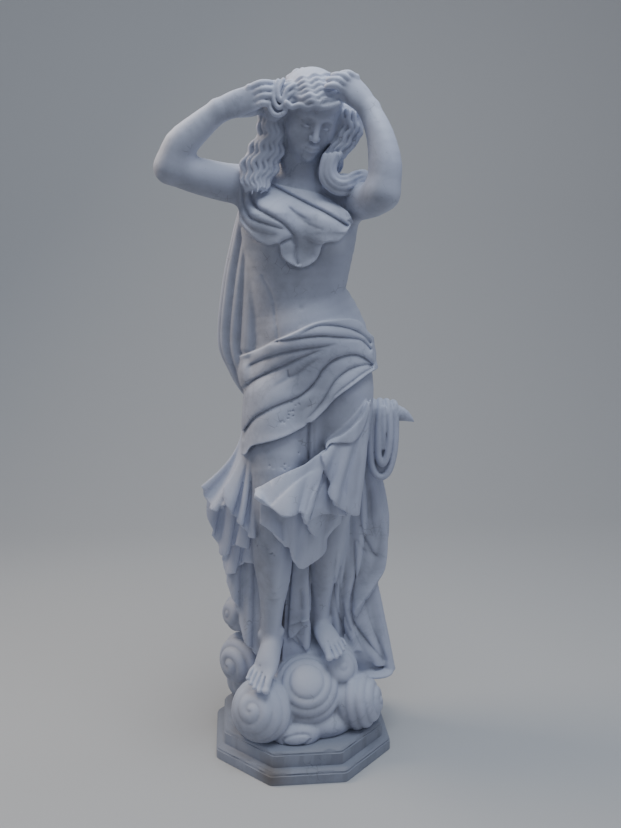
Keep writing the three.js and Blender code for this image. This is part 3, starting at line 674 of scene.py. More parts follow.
FLOUNCES = [
    # the fall behind, down to the lowest point between the knees
    dict(
        top=[(104, 740, 4), (40, 740, 8), (-40, 740, 8), (-112, 730, 4)],
        hem=[(94, 640, 10), (72, 610, 14), (58, 584, 18), (54, 557, 20), (22, 539, 24), (-8, 530, 24),
             (-24, 543, 22),
             (-33, 572, 20), (-37, 590, 18), (-52, 596, 20), (-64, 614, 18), (-88, 644, 18),
             (-112, 660, 16)],
        waves=3.5, depth=8, phase=0.1,
    ),
    # the lining that shows under the small fall
    dict(
        top=[(98, 690, 14), (60, 700, 16), (14, 690, 18)],
        hem=[(90, 652, 20), (70, 620, 24), (49, 585, 28), (30, 604, 30), (12, 634, 30), (3, 660, 30)],
        waves=1.0, depth=6, phase=0.4,
    ),
    # the small fall between the two in front
    dict(
        top=[(68, 812, 6), (54, 814, 8), (42, 806, 10)],
        hem=[(108, 660, 18), (84, 664, 28), (62, 669, 34), (40, 672, 34), (6, 668, 32)],
        waves=1.2, depth=9, phase=0.3, flare=1.4,
    ),
    # the fall that sweeps across to the left knee
    dict(
        top=[(66, 846, 8), (36, 824, 12), (0, 804, 14), (-60, 781, 11), (-106, 755, 10), (-122, 742, 8)],
        hem=[(-4, 662, 40), (-10, 690, 40), (-28, 692, 38), (-62, 693, 38), (-98, 716, 36),
             (-126, 736, 30)],
        waves=2.2, depth=9, phase=0.1, gather=2,
    ),
    # the fall from the right hip
    dict(
        top=[(170, 958, 2), (146, 910, 4), (108, 874, 6), (64, 846, 10)],
        hem=[(138, 662, 26), (122, 664, 30), (96, 680, 36), (74, 700, 40), (64, 724, 42), (64, 752, 40),
             (48, 786, 36), (42, 824, 30)],
        waves=2.4, depth=9, gather=2,
    ),
]
hung = []
for shape in FLOUNCES:
    top, hem = before(shape.pop("top")), before(shape.pop("hem"))
    hung.append(flounce(top, hem, thickness=11, **shape))
for cloth in hung:
    marble.add(cloth, blend=3)
dress([(52, 835), (60, 858), (117, 909), (162, 956)],
      [(52, 835), (66, 850), (85, 851), (126, 854), (150, 884), (168, 930)],
      3, flare=3, back=-40, undercut=4)
work(
    [
        ([(36, 794), (4, 781), (-32, 762), (-68, 733), (-90, 712)], 4, 14, 3, 0.3, 0.1),
        ([(44, 778), (16, 734), (5, 706), (0, 690)], 3, 12, 3, 0.3, 0.25),
        ([(141, 856), (116, 790), (104, 746), (102, 712)], 3, 14, 3, 0.2, 0.3),
        ([(52, 760), (34, 726), (30, 700)], 3, 9, 2, 0.2, 0.25),
    ],
    back=-60,
)

CASCADE = [
    dict(
        top=[(-124, -56, 905), (-140, -34, 895), (-150, 0, 885)],
        hem=[(-196, -74, 700), (-206, -70, 678), (-224, -64, 672), (-240, -54, 684), (-262, -22, 728)],
        waves=2.2, depth=12, flare=2.0, gather=4,
    ),
    dict(
        top=[(-112, -90, 870), (-130, -66, 868), (-142, -36, 860)],
        hem=[(-126, -104, 610), (-140, -102, 616), (-158, -98, 640), (-168, -92, 654), (-186, -86, 672),
             (-206, -76, 730)],
        waves=2.6, depth=12, flare=1.6, gather=3,
    ),
    dict(
        top=[(-120, -50, 700), (-170, -24, 720), (-226, 0, 720)],
        hem=[(-140, -62, 566), (-168, -48, 572), (-186, -38, 560), (-206, -28, 540), (-224, -16, 570),
             (-236, -12, 610), (-250, -6, 686)],
        waves=2.6, depth=11, gather=4,
    ),
    dict(
        top=[(-110, -30, 640), (-150, -10, 640), (-200, 10, 620)],
        hem=[(-124, -50, 524), (-150, -34, 520), (-168, -24, 500), (-182, -16, 486), (-202, -4, 478),
             (-206, 6, 520), (-212, 8, 560)],
        waves=2.4, depth=10, gather=3,
    ),
]
for shape in CASCADE:
    marble.add(flounce(shape.pop("top"), shape.pop("hem"), **shape), blend=4)

# The cloth beside her left leg, down to the clouds.
marble.add(flounce(
    [(-90, 4, 640), (-130, 14, 640), (-176, 26, 620)],
    [(-96, -42, 262), (-124, -44, 266), (-150, -28, 300), (-168, -10, 372), (-196, 6, 452)],
    waves=2.6, depth=9, flare=0.9, thickness=16), blend=6)


def strand(points, girth=6.0, waves=0.0, swing=0.0, phase=0.0):
    """A round strand through points of (x, y, z), thin at its end, that swings from side to side."""
    path = smooth(points, 8)
    run = np.concatenate([[0], np.cumsum(np.linalg.norm(np.diff(path, axis=0), axis=1))])
    t = np.linspace(0, 1, max(4, int(run[-1] / 5)))
    path = np.stack([np.interp(t * run[-1], run, column) for column in path.T], axis=1)
    sway = swing * np.sin(2 * np.pi * (waves * t + phase)) * np.clip(5 * t, 0, 1)
    path[:, 0] += sway
    girths = girth * np.clip(1.15 - t**4, 0.35, 1)
    stations = [np.array((*p, g, g)) for p, g in zip(path, girths)]
    return [oval(a, b, (0, 1, 0)) for a, b in zip(stations, stations[1:])]


# The peg of marble at her left hip, with spare cloth over it that hangs in nested loops.
marble.add(limb([(140, 24, 900, 32), (226, 20, 904, 25), (266, 18, 898, 19), (290, 17, 886, 9),
                 (302, 16, 877, 2)]), blend=8)
for points in (
    [(194, 54, 900), (194, 26, 930), (190, 4, 912), (183, -8, 850), (184, -14, 780), (196, -16, 745),
     (214, -16, 736),
     (232, -14, 752), (245, -10, 796), (250, -4, 850), (250, 6, 912), (248, 28, 926), (246, 54, 896)],
    [(212, 54, 900), (212, 26, 932), (208, 0, 914), (202, -14, 860), (202, -18, 800), (209, -20, 775),
     (219, -20, 778),
     (228, -18, 806), (233, -12, 860), (232, 2, 912), (230, 28, 930), (228, 54, 898)],
):
    marble.add(limb([(*p, 9.5) for p in points]), blend=2)
marble.add(limb([(218, 10, 900, 30, 22), (216, 2, 840, 30, 12), (214, -2, 780, 26, 12),
                 (214, -6, 752, 20, 8)]), blend=2)
marble.add(limb([(217, -4, 918, 7), (216, -16, 870, 7), (214, -18, 815, 6)]), blend=2)


def swept(stations, relief, sides=120):
    """A fluted body through stations of (x, y, z, half width, half depth). relief(angle, t) lifts it."""
    path = smooth(stations, 9)
    t = np.linspace(0, 1, len(path))[:, None]
    angle = np.linspace(0, 2 * np.pi, sides, endpoint=False)[None, :]
    lift = relief(angle, t)
    ends = np.clip(np.minimum(t, 1 - t) * 40, 0, 1) ** 0.5
    x = path[:, 0:1] + ends * (path[:, 3:4] + lift) * np.cos(angle)
    y = path[:, 1:2] + ends * (path[:, 4:5] + lift) * np.sin(angle)
    z = np.broadcast_to(path[:, 2:3], x.shape)
    index = np.arange(x.size).reshape(x.shape)
    turn = np.roll(index, -1, axis=1)
    quads = np.stack([index[:-1], index[1:], turn[1:], turn[:-1]], axis=-1).reshape(-1, 4)
    return [skin(np.stack([x, y, z], axis=-1).reshape(-1, 3), quads)]


def pleat(x):
    """A rounded pleat: 0 in the creases at whole numbers and 1 on the crests between them."""
    return np.abs(np.sin(np.pi * x)) ** 0.8


# The cloth behind her legs, which falls to the clouds and spreads on them.
SKIRT = [
    (26, 44, 1040, 126, 62), (30, 54, 880, 156, 60), (34, 60, 740, 178, 58), (36, 64, 600, 202, 56),
    (32, 64, 480, 196, 54), (38, 62, 390, 168, 52), (46, 58, 280, 176, 54), (50, 54, 150, 174, 58),
]
marble.add(
    swept(SKIRT, lambda angle, t: 15 * (0.45 + 0.55 * np.minimum(1, 3 * t)) * pleat(
        17 * angle / (2 * np.pi) + 0.5 * np.sin(3 * t + 2 * angle) + 0.2 * np.sin(5 * angle)) - 2),
    blend=3,
)
# The cape, from the shoulder behind the lifted arm to the wrap at the hip.
CAPE = [
    (-86, 30, 1478, 24, 22), (-96, 44, 1440, 38, 33), (-112, 56, 1348, 48, 36), (-124, 60, 1230, 61, 38),
    (-134, 62, 1090, 64, 38),
    (-128, 58, 1010, 42, 36), (-118, 50, 970, 30, 32), (-108, 34, 940, 16, 20),
]
marble.add(
    swept(CAPE,
          lambda angle, t: 15 * pleat(10 * angle / (2 * np.pi) + 0.35 * np.sin(2.5 * t + angle)) - 1,
          sides=100),
    blend=5,
)

# The cloth that spreads at the right: an upper fold that crosses to the left, and a lower one that
# comes back to a point on the clouds.
UPPER_OUTER = [(214, 40, 700), (240, 34, 560), (236, 30, 470), (214, 20, 432), (182, 4, 392), (146, -6, 348)]
UPPER_INNER = [(150, 66, 700), (160, 56, 560), (150, 46, 470), (140, 40, 430), (134, 32, 392), (130, 26, 352)]
down = np.linspace(0, 1, 60)
over = np.linspace(0, 1, 30)[None, :, None]
outer, inner = along(UPPER_OUTER, down)[:, None, :], along(UPPER_INNER, down)[:, None, :]
marble.add([slab(outer * (1 - over) + inner * over, 18)], blend=4)
marble.add(flounce(
    [(210, 44, 440), (184, 34, 410), (150, 24, 376), (120, 22, 380)],
    [(252, 4, 178), (236, 0, 186), (206, -8, 202), (170, -10, 236), (120, 4, 262)],
    waves=2.5, depth=6, flare=1.3, thickness=26), blend=4)

work(
    [
        ([(166, 730), (161, 684), (162, 615), (174, 563), (199, 515), (218, 498)], 7, 7, 4, 0.1, 0.2),
        ([(188, 700), (192, 650), (196, 600), (212, 540)], 4, 8, 2, 0.3, 0.3),
        ([(150, 560), (163, 540), (186, 505)], 4, 6, 2, 0.2, 0.3),
        ([(92, 560), (88, 500), (90, 443), (97, 372), (118, 303), (135, 274)], 5, 6, 3, 0.2, 0.1),
        ([(110, 560), (106, 480), (108, 420), (122, 340), (140, 290)], 4, 6, 2, 0.2, 0.1),
        ([(146, 560), (148, 503), (151, 446), (141, 384), (143, 331), (174, 282), (232, 208)], 8, 6, 5,
         0.1, 0.1),
        ([(176, 400), (190, 330), (218, 256), (238, 206)], 5, 8, 2, 0.2, 0.1),
        ([(204, 400), (220, 320), (240, 240)], 3, 8, 2, 0.3, 0.2),
        ([(146, 330), (150, 290), (176, 240), (206, 212)], 4, 7, 3, 0.1, 0.2),
    ],
    back=70,
)

# ---------------------------------------------------------------- hair
# Long wavy hair in separate locks. It is parted over her left brow, crosses the forehead, is held up
# in both hands, falls in front of one shoulder and curls over the other.

# The mass under the locks: the crown, the bunch under the left hand and the fall at the back.
marble.add(head_ball((0, 16, 28), (80, 88, 80)), blend=4)
marble.add(ball((-60, -74, 1662), (32, 32, 46), (0, 20, 0)), blend=10)
marble.add(ball((100, -54, 1474), (50, 24, 30)), blend=10)
marble.add(ball((84, -42, 1620), (28, 30, 46)), blend=10)
marble.add(ball((-24, -6, 1560), (30, 36, 70)), blend=10)
marble.add(head_ball((0, -54, 47), (54, 22, 20)), blend=8)
marble.add(ball((-36, -90, 1672), (18, 16, 30)), blend=6)
marble.add(ball((66, -88, 1666), (26, 16, 22)), blend=6)
marble.add(limb([(112, -30, 1650, 26, 34), (112, -28, 1600, 28, 30), (84, -30, 1552, 23, 26),
                 (66, -30, 1510, 24, 26)]), blend=8)
marble.add(limb([(10, 30, 1660, 80, 50), (8, 50, 1580, 82, 36), (0, 72, 1490, 88, 30),
                 (-4, 84, 1400, 62, 16)]), blend=12)

# Strands that sweep from the parting across the forehead to the lifted hand.
PARTING = [(60, 1722), (74, 1652)]
SWEPT_TO = [(-38, 1702), (-37, 1650)]
CROWN_LOCKS = 7
strands = []
for k in range(CROWN_LOCKS):
    f = k / (CROWN_LOCKS - 1)
    start = np.array(PARTING[0]) * (1 - f) + np.array(PARTING[1]) * f
    end = np.array(SWEPT_TO[0]) * (1 - f) + np.array(SWEPT_TO[1]) * f
    t = np.linspace(0, 1, 40)
    x = start[0] + t * (end[0] - start[0])
    z = start[1] + t * (end[1] - start[1]) - 9 * f * np.sin(np.pi * t)
    z = z + 3.4 * np.sin(2 * np.pi * (3.4 * t + 0.1 * k)) * np.clip(4 * t, 0, 1)
    y = marble.front(x, z)
    y = np.convolve(np.pad(y, 4, mode="edge"), np.ones(9) / 9, mode="valid")
    girth = 5.4 + 1.2 * f
    strands.append(limb([(*p, girth) for p in zip(x, y - 0.5, z)], steps=1))
for parts in strands:
    marble.add(parts, blend=2)
rim = [(78, 1652), (62, 1646), (44, 1642), (26, 1646), (8, 1641), (-10, 1647), (-28, 1644), (-40, 1652)]
marble.add(limb([(*p, 6.5) for p in before([(x, z, -1) for x, z in rim])]), blend=2)

# Strands over the crown and down the back of the head, from the parting to the nape.
for k in range(11):
    turn = -150 + 30 * k
    a = math.radians(turn)
    arc = []
    for fall in np.linspace(0.8, 1.75, 6):
        r = math.sin(fall)
        arc.append((76 * r * math.sin(a), 18 + 84 * r * math.cos(a), 26 + 80 * math.cos(fall)))
    if math.cos(a) > 0.1:
        marble.add(strand(set_on_head(arc), girth=8, waves=3.5, swing=3, phase=0.2 * k), blend=3)
for k in range(9):
    f = (k - 4) / 4
    points = [(16 + 24 * f, 20, 1716), (13 + 54 * f, 62 - 20 * f * f, 1692),
              (11 + 74 * f, 78 - 30 * f * f, 1640),
              (8 + 80 * f, 86 - 26 * f * f, 1570),
              (0 + 84 * f, 102 - 26 * f * f, 1490), (-4 + 62 * f, 100 - 14 * f * f, 1400 + 18 * (k % 2))]
    marble.add(strand(points, girth=10.5, waves=5, swing=4, phase=0.12 * k), blend=3)
for k in range(6):
    a = math.radians(-50 + 34 * k)
    points = [(x + w * math.cos(a), y + d * math.sin(a), z) for x, y, z, w, d in (
        (100, -24, 1672, 20, 26), (112, -28, 1640, 26, 32), (110, -28, 1600, 27, 30),
        (84, -30, 1552, 23, 26), (68, -26, 1508, 26, 28))]
    marble.add(strand(points, girth=7, waves=3.4, swing=3.5, phase=0.08 * k), blend=2)

# The U of hair that hangs from the lifted fingers.
for points in (
    [(-66, -92, 1702), (-80, -98, 1676), (-79, -104, 1648), (-70, -106, 1631), (-57, -108, 1627),
     (-44, -110, 1634),
     (-37, -110, 1650), (-26, -108, 1660)],
    [(-58, -98, 1704), (-69, -104, 1680), (-68, -108, 1656), (-58, -110, 1643), (-48, -112, 1648),
     (-41, -112, 1664),
     (-26, -110, 1676)],
    [(-46, -100, 1706), (-57, -106, 1686), (-58, -110, 1666), (-52, -112, 1658), (-45, -112, 1668),
     (-38, -112, 1684),
     (-22, -108, 1694)],
):
    marble.add(limb([(*p, 5.6) for p in points]), blend=2)

# The locks that fall in front of the shoulder, and those beside the other cheek. Each group lies on a
# mass of hair between its two edges, its locks wave almost together, and it is fullest in the middle.
FALL_OUTER = [(-106, 1644), (-103, 1600), (-126, 1560), (-147, 1520), (-146, 1482), (-124, 1444)]
FALL_INNER = [(-30, 1644), (-36, 1598), (-43, 1560), (-53, 1522), (-70, 1488), (-98, 1448)]
CHEEK_INNER = [(84, 1650), (94, 1612), (84, 1588), (66, 1563), (42, 1536)]
CHEEK_OUTER = [(140, 1640), (147, 1610), (133, 1574), (111, 1550), (96, 1530)]


def fall(outer, inner, count, front, fullness, girth, waves, swing, shift):
    """Locks side by side between two edges of (x, z), over a mass that backs them."""

    def place(f, t):
        xz = along(outer, t) * (1 - f)[..., None] + along(inner, t) * f[..., None]
        y = front(t) - fullness * np.sin(np.pi * np.clip(f, 0.06, 0.94))
        return np.stack([xz[..., 0], y, xz[..., 1]], axis=-1)

    f, t = np.meshgrid(np.linspace(0.04, 0.96, 30), np.linspace(0, 0.93, 60), indexing="ij")
    marble.add([slab(place(f, t) + (0, 15, 0), 26)], blend=6)
    for k in range(count):
        share = (k + 0.5) / count
        down = (0.90, 0.96, 0.87, 0.94, 0.89)[k % 5]
        middle = place(np.full(9, share), np.linspace(0, down, 9))
        way = strand(middle, girth=girth * (1, 0.88, 1.08)[k % 3], waves=waves * down,
                     swing=swing * (1, 0.8)[k % 2],
                     phase=shift * k + 0.05 * math.sin(2.1 * k))
        marble.add(way, blend=2)


fall(FALL_OUTER, FALL_INNER, 7, lambda t: -56 + 22 * np.sin(np.pi * t) - 12 * t, 18, 6.4, 4.6, 5.5, 0.04)
fall(CHEEK_OUTER, CHEEK_INNER, 4, lambda t: -64 - 12 * t, 10, 5.8, 3.4, 3.5, 0.08)
# the curl of the cheek's locks over her shoulder, to its end behind the forearm
CURL_OUTER = [(46, 1540), (40, 1508), (44, 1478), (72, 1454), (104, 1450), (128, 1462), (146, 1474),
              (168, 1472)]
CURL_INNER = [(94, 1544), (81, 1526), (78, 1507), (87, 1495), (103, 1495), (123, 1507), (142, 1511),
              (162, 1504)]


def curl_front(t):
    return -86 - 4 * np.sin(np.pi * t) + 34 * np.clip((t - 0.6) / 0.4, 0, 1)


fall(CURL_OUTER, CURL_INNER, 4, curl_front, 9, 7, 1, 0, 0)
marble.add(limb([(146, -46, 1480, 16), (160, -36, 1478, 16), (172, -10, 1466, 10)]), blend=8)

for palm, fingers in HANDS:
    marble.add(palm, blend=12)
    marble.add(fingers, blend=3)

# ---------------------------------------------------------------- clouds
# Round balls of cloud, each with ridges that circle it like a rolled cloth. They are part of the
# same block and are cut off flat where it is bedded on the plinth.


def cloud(centre, radius, axis, rings=4, groove=7.0, spiral=0.0, eye=None):
    eye = 0.26 / rings if eye is None else eye
    centre = np.asarray(centre, float)
    axis = np.asarray(axis, float) / np.linalg.norm(axis)
    side = np.cross(axis, (0.31, 0.12, 0.94))
    side /= np.linalg.norm(side)
    other = np.cross(axis, side)

    def distance(x, y, z):
        p = (x - centre[0], y - centre[1], z - centre[2])
        far = np.sqrt(p[0] ** 2 + p[1] ** 2 + p[2] ** 2) + 1e-3
        s, u, v = (sum(c * w for c, w in zip(p, way)) for way in (axis, side, other))
        turn = np.arccos(np.clip(s / far, -1, 1)) / np.pi
        swirl = spiral * np.arctan2(v, u) / (2 * np.pi)
        ring = pleat(np.clip(rings * 1.35 * (turn - eye) + swirl, -0.5, rings + 0.5))
        return far - radius * 1.02 + groove * (1 - ring) * np.clip(1.5 - turn, 0, 1)

    return [(centre - radius * 1.03, centre + radius * 1.03, distance)]


marble.add(ball((14, 20, 130), (180, 156, 110)), blend=10)
marble.add(ball((62, 14, 230), (96, 84, 56)), blend=10)
marble.add(ball((34, -100, 98), (96, 64, 46)), blend=16)
marble.add(ball((204, -10, 180), (50, 36, 10)), blend=6)
marble.add(ball((168, 12, 216), (56, 34, 52)), blend=10)
for parts, blend in (
    (cloud((-130, 96, 130), 74, (-0.3, 0.9, 0), rings=3), 8),
    (cloud((0, 112, 150), 84, (0, 1, 0.2), rings=3), 8),
    (cloud((124, 96, 130), 76, (0.4, 0.9, 0), rings=3), 8),
    (cloud((-158, 52, 344), 54, (-0.85, -0.5, 0.15), rings=4, groove=6), 6),
    (cloud((-148, 40, 214), 74, (-0.75, -0.66, 0.05), rings=5, groove=7, spiral=1), 6),
    (cloud((138, -80, 136), 74, (0.9, -0.35, 0.1), rings=6, groove=5, spiral=1), 4),
    (cloud((88, -50, 216), 60, (0.3, -0.8, 0.5), rings=4, groove=5), 8),
    (cloud((8, -66, 162), 100, (-0.04, -0.70, 0.71), rings=9, groove=5, eye=0.155), 8),
    (cloud((-106, -112, 144), 84, (-0.45, -0.75, 0.4), rings=6, groove=4, spiral=1), 4),
    (ball((-22, -150, 90), (62, 38, 36), (0, -6, 0)), 6),
):
    marble.add(parts, blend=blend)
eye = []
for turn in np.linspace(0.3, 2 * np.pi - 0.3, 17):
    dx, dz = 36 * math.cos(turn), 15 * math.sin(turn)
    eye.append((-26 + dx, marble.front(-26 + dx, 92 + dz + 0.12 * dx)[0], 92 + dz + 0.12 * dx, 3.5))
marble.cut(limb(eye), blend=4)
marble.depth = np.maximum(marble.depth, (BED - marble.axes[2])[None, None, :])

# ---------------------------------------------------------------- the carved block as a mesh
# The surface of the block, with the crumbs of the grid dropped and flat places made of few faces.

MOST_FACES = 190_000


def largest_shell(points, faces):
    """The faces of the largest connected shell. Corners of a triangle may be given twice."""
    label = np.arange(len(points))
    while True:
        lowest = label[faces].min(axis=1)
        fresh = label.copy()
        for corner in range(faces.shape[1]):
            np.minimum.at(fresh, faces[:, corner], lowest)
        fresh = fresh[fresh]
        if (fresh == label).all():
            break
        label = fresh
    names, counts = np.unique(label[faces[:, 0]], return_counts=True)
    kept = faces[label[faces[:, 0]] == names[counts.argmax()]]
    used, renumbered = np.unique(kept, return_inverse=True)
    return points[used], renumbered.reshape(kept.shape)


def surface_of(block):
    grid = openvdb.FloatGrid(3 * block.step)
    grid.copyFromArray(np.clip(block.depth, -3 * block.step, 3 * block.step))
    points, triangles, quads = grid.convertToPolygons(0.0, 0.0)
    points = points * block.step + [axis[0] for axis in block.axes]
    if len(triangles):
        quads = np.vstack([quads, np.hstack([triangles, triangles[:, 2:]])])
    return largest_shell(points, quads.astype(int))


def mesh_of(name, points, quads):
    mesh = bpy.data.meshes.new(name)
    mesh.vertices.add(len(points))
    mesh.vertices.foreach_set("co", np.asarray(points, np.float32).ravel())
    mesh.loops.add(quads.size)
    mesh.loops.foreach_set("vertex_index", quads.ravel().astype(np.int32))
    mesh.polygons.add(len(quads))
    mesh.polygons.foreach_set("loop_start", np.arange(0, quads.size, 4, dtype=np.int32))
    mesh.update()
    mesh.validate()
    return mesh


def place(name, mesh):
    piece = bpy.data.objects.new(name, mesh)
    bpy.context.scene.collection.objects.link(piece)
    return piece


points, quads = surface_of(marble)
figure = place("carved_figure", mesh_of("carved_figure", points / 1000, quads))
thin = figure.modifiers.new("fewer faces", "DECIMATE")
thin.ratio = min(1, MOST_FACES / (2 * len(quads)))
with bpy.context.temp_override(object=figure, active_object=figure, selected_objects=[figure]):
    bpy.ops.object.modifier_apply(modifier=thin.name)
figure.data.shade_smooth()


def spread(field, cells):
    """The field averaged over a cube of this many cells each way."""
    for axis in range(3):
        padded = np.pad(field, [(cells, cells + 1) if a == axis else (0, 0) for a in range(3)],
                        mode="edge")
        total = np.cumsum(padded, axis=axis, dtype=np.float32)
        width = 2 * cells + 1
        length = field.shape[axis]
        upper = np.take(total, range(width, width + length), axis=axis)
        lower = np.take(total, range(length), axis=axis)
        field = (upper - lower) / width
    return field


def remember(mesh, name, values):
    """Keeps a value from 0 to 1 for each point of a mesh, for its finish to read."""
    layer = mesh.attributes.new(name, "FLOAT", "POINT")
    layer.data.foreach_set("value", np.clip(values, 0, 1).astype(np.float32))


# How much more than half of the space round a point is marble, close by and farther off: the finish paints
# shade in creases and hollows from it.
places = np.empty(3 * len(figure.data.vertices), np.float32)
figure.data.vertices.foreach_get("co", places)
places = places.reshape(-1, 3) * 1000
coarse = Block(BLOCK_LOW - HALO, BLOCK_HIGH + HALO, 3 * GRID)
solid = np.clip(0.5 - marble.depth[1::3, 1::3, 1::3] / (3 * GRID), 0, 1)
coarse.axes = [axis[1::3] for axis in marble.axes]
for name, cells in (("crease", 1), ("hollow", 3)):
    coarse.depth = spread(solid, cells)
    remember(figure.data, name, (coarse.at(places) - 0.55) * 2.4)
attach(figure, "root")
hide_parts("figure")


class Value:
    """A value that changes over a surface. Sums and products of values add Math nodes."""

    def __init__(self, tree, socket):
        self.tree, self.socket = tree, socket

    def math(self, operation, *terms):
        node = self.tree.nodes.new("ShaderNodeMath")
        node.operation = operation
        for slot, term in zip(node.inputs, terms):
            if isinstance(term, Value):
                self.tree.links.new(term.socket, slot)
            else:
                slot.default_value = term
        return Value(self.tree, node.outputs[0])

    def __add__(self, other):
        return self.math("ADD", self, other)

    def __sub__(self, other):
        return self.math("SUBTRACT", self, other)

    def __rsub__(self, other):
        return self.math("SUBTRACT", other, self)

    def __mul__(self, other):
        return self.math("MULTIPLY", self, other)

    def __truediv__(self, other):
        return self.math("DIVIDE", self, other)

    def __abs__(self):
        return self.math("ABSOLUTE", self)

    __radd__, __rmul__ = __add__, __mul__

    def least(self, other):
        return self.math("MINIMUM", self, other)

    def most(self, other):
        return self.math("MAXIMUM", self, other)

    def ramp(self, low, high):
        """0 below low, 1 above high, or the other way round if low is the higher."""
        return ((self - low) / (high - low)).most(0.0).least(1.0)


class Finish:
    """A material, and the means to add nodes to it."""

    def __init__(self, name):
        self.material = bpy.data.materials.new(name)
        self.material.use_nodes = True
        self.tree = self.material.node_tree
        self.shader = self.tree.nodes["Principled BSDF"]

    def node(self, kind, settings=None, sockets=None, output=0):
        node = self.tree.nodes.new(kind)
        for name, value in (settings or {}).items():
            setattr(node, name, value)
        for name, value in (sockets or {}).items():
            self.feed(node.inputs[name], value)
        return Value(self.tree, node.outputs[output])

    def feed(self, socket, value):
        if isinstance(value, Value):
            self.tree.links.new(value.socket, socket)
        else:
            socket.default_value = value

    def noise(self, place, scale, detail=4.0, rough=0.55, distortion=0.0):
        sockets = {"Vector": place, "Scale": scale, "Detail": detail, "Roughness": rough,
                   "Distortion": distortion}
        return self.node("ShaderNodeTexNoise", {"noise_dimensions": "3D"}, sockets)

    def tint(self, share, first, second):
        """One colour turning into another. Either may be a colour or a value of one."""
        sockets = {"Factor": share, 6: first, 7: second}
        return self.node("ShaderNodeMix", {"data_type": "RGBA", "clamp_factor": True}, sockets, output=2)


MARBLE = (0.59, 0.63, 0.77, 1)
MARBLE_SHADE = (0.49, 0.525, 0.665, 1)
VEIN = (0.25, 0.28, 0.36, 1)
# The dark tone below darkens cracks, pits and streaks with grime, and also paints shade in creases and
# hollows.
SOOT_AND_SHADE = (0.10, 0.098, 0.105, 1)
# The pale tone below is a painted top light for faces turned up.
TOP_LIGHT_TONE = (0.74, 0.79, 0.87, 1)
DAMP = (0.13, 0.105, 0.08, 1)


def marble_finish(name, tones, damp=None):
    """White marble with a blue cast: clouded between two tones, veined, pitted, with painted shade in its
    folds and hollows and a painted top light in a third tone on faces turned up. A damp patch may be given by
    its centre in metres and its reach."""
    finish = Finish(name)
    place = finish.node("ShaderNodeTexCoord", output=3)
    clouded = finish.noise(place, 3.2, detail=5).ramp(0.38, 0.66)
    colour = finish.tint(clouded, tones[0], tones[1])
    # veins: thin lines where a bent noise passes its middle
    bent = finish.noise(place, 5.5, detail=6, rough=0.62, distortion=1.2)
    vein = 1 - (abs(bent - 0.5) * 26).least(1.0)
    patches = finish.noise(place, 2.3, detail=2).ramp(0.5, 0.62)
    colour = finish.tint(vein * vein * patches * 0.38, colour, VEIN)
    # fine grain of the crystals
    grain = finish.noise(place, 420, detail=2)
    # pits and short cracks, in patches
    cells = finish.node("ShaderNodeTexVoronoi", {"feature": "DISTANCE_TO_EDGE"},
                        {"Vector": place, "Scale": 46.0})
    broken = finish.noise(place, 15, detail=3).ramp(0.60, 0.68)
    crack = (1 - (cells * 22).least(1.0)) * broken
    pit = finish.noise(place, 150, detail=3, rough=0.7).ramp(0.69, 0.75)
    colour = finish.tint((crack * 0.5).most(pit * 0.5), colour, SOOT_AND_SHADE)
    # painted shade in creases and hollows, in blotches
    blotch = finish.noise(place, 26, detail=5, rough=0.65).ramp(0.25, 0.75)
    crease = finish.node("ShaderNodeAttribute", {"attribute_name": "crease"}, output=2)
    hollow = finish.node("ShaderNodeAttribute", {"attribute_name": "hollow"}, output=2)
    painted_shade = (crease * 0.8 + hollow * 0.25).least(0.8) * (0.55 + 0.45 * blotch)
    colour = finish.tint(painted_shade * 0.7, colour, SOOT_AND_SHADE)
    # A painted top light: faces turned up are lighter, in a third tone, except where shade is painted.
    facing = finish.node("ShaderNodeNewGeometry", output=1)
    up = finish.node("ShaderNodeSeparateXYZ", {}, {"Vector": facing}, output=2)
    painted_top_light = up.ramp(0.25, 0.95) * (1 - painted_shade)
    colour = finish.tint(painted_top_light * 0.35, colour, tones[2])
    if damp:
        away = finish.node("ShaderNodeVectorMath", {"operation": "DISTANCE"}, {0: place, 1: damp[:3]},
                           output=1)
        patch = (away + 0.04 * blotch).ramp(damp[3] + 0.03, damp[3] - 0.03)
        colour = finish.tint(patch * (0.5 + 0.5 * blotch), colour, DAMP)
        streak = finish.noise(finish.node("ShaderNodeMapping", {},
                                          {"Vector": place, "Scale": (1, 1, 0.12)}), 24)
        colour = finish.tint(streak.ramp(0.5, 0.75) * up.ramp(0.5, 0.1) * 0.35, colour, SOOT_AND_SHADE)
    finish.feed(finish.shader.inputs["Base Color"], colour)
    finish.feed(finish.shader.inputs["Roughness"],
                (0.42 + 0.22 * grain + 0.25 * painted_shade + 0.1 * painted_top_light).least(0.95))
    height = grain * 0.25 + finish.noise(place, 55, detail=4) * 1.3 - crack * 1.6 - pit * 1.2
    bump = finish.node("ShaderNodeBump", {}, {"Strength": 0.35, "Distance": 0.0012, "Height": height})
    finish.feed(finish.shader.inputs["Normal"], bump)
    finish.shader.inputs["Specular IOR Level"].default_value = 0.45
    finish.shader.inputs["Subsurface Weight"].default_value = 0.0
    return finish


figure.data.materials.append(marble_finish("weathered_marble", (MARBLE, MARBLE_SHADE, TOP_LIGHT_TONE)).material)
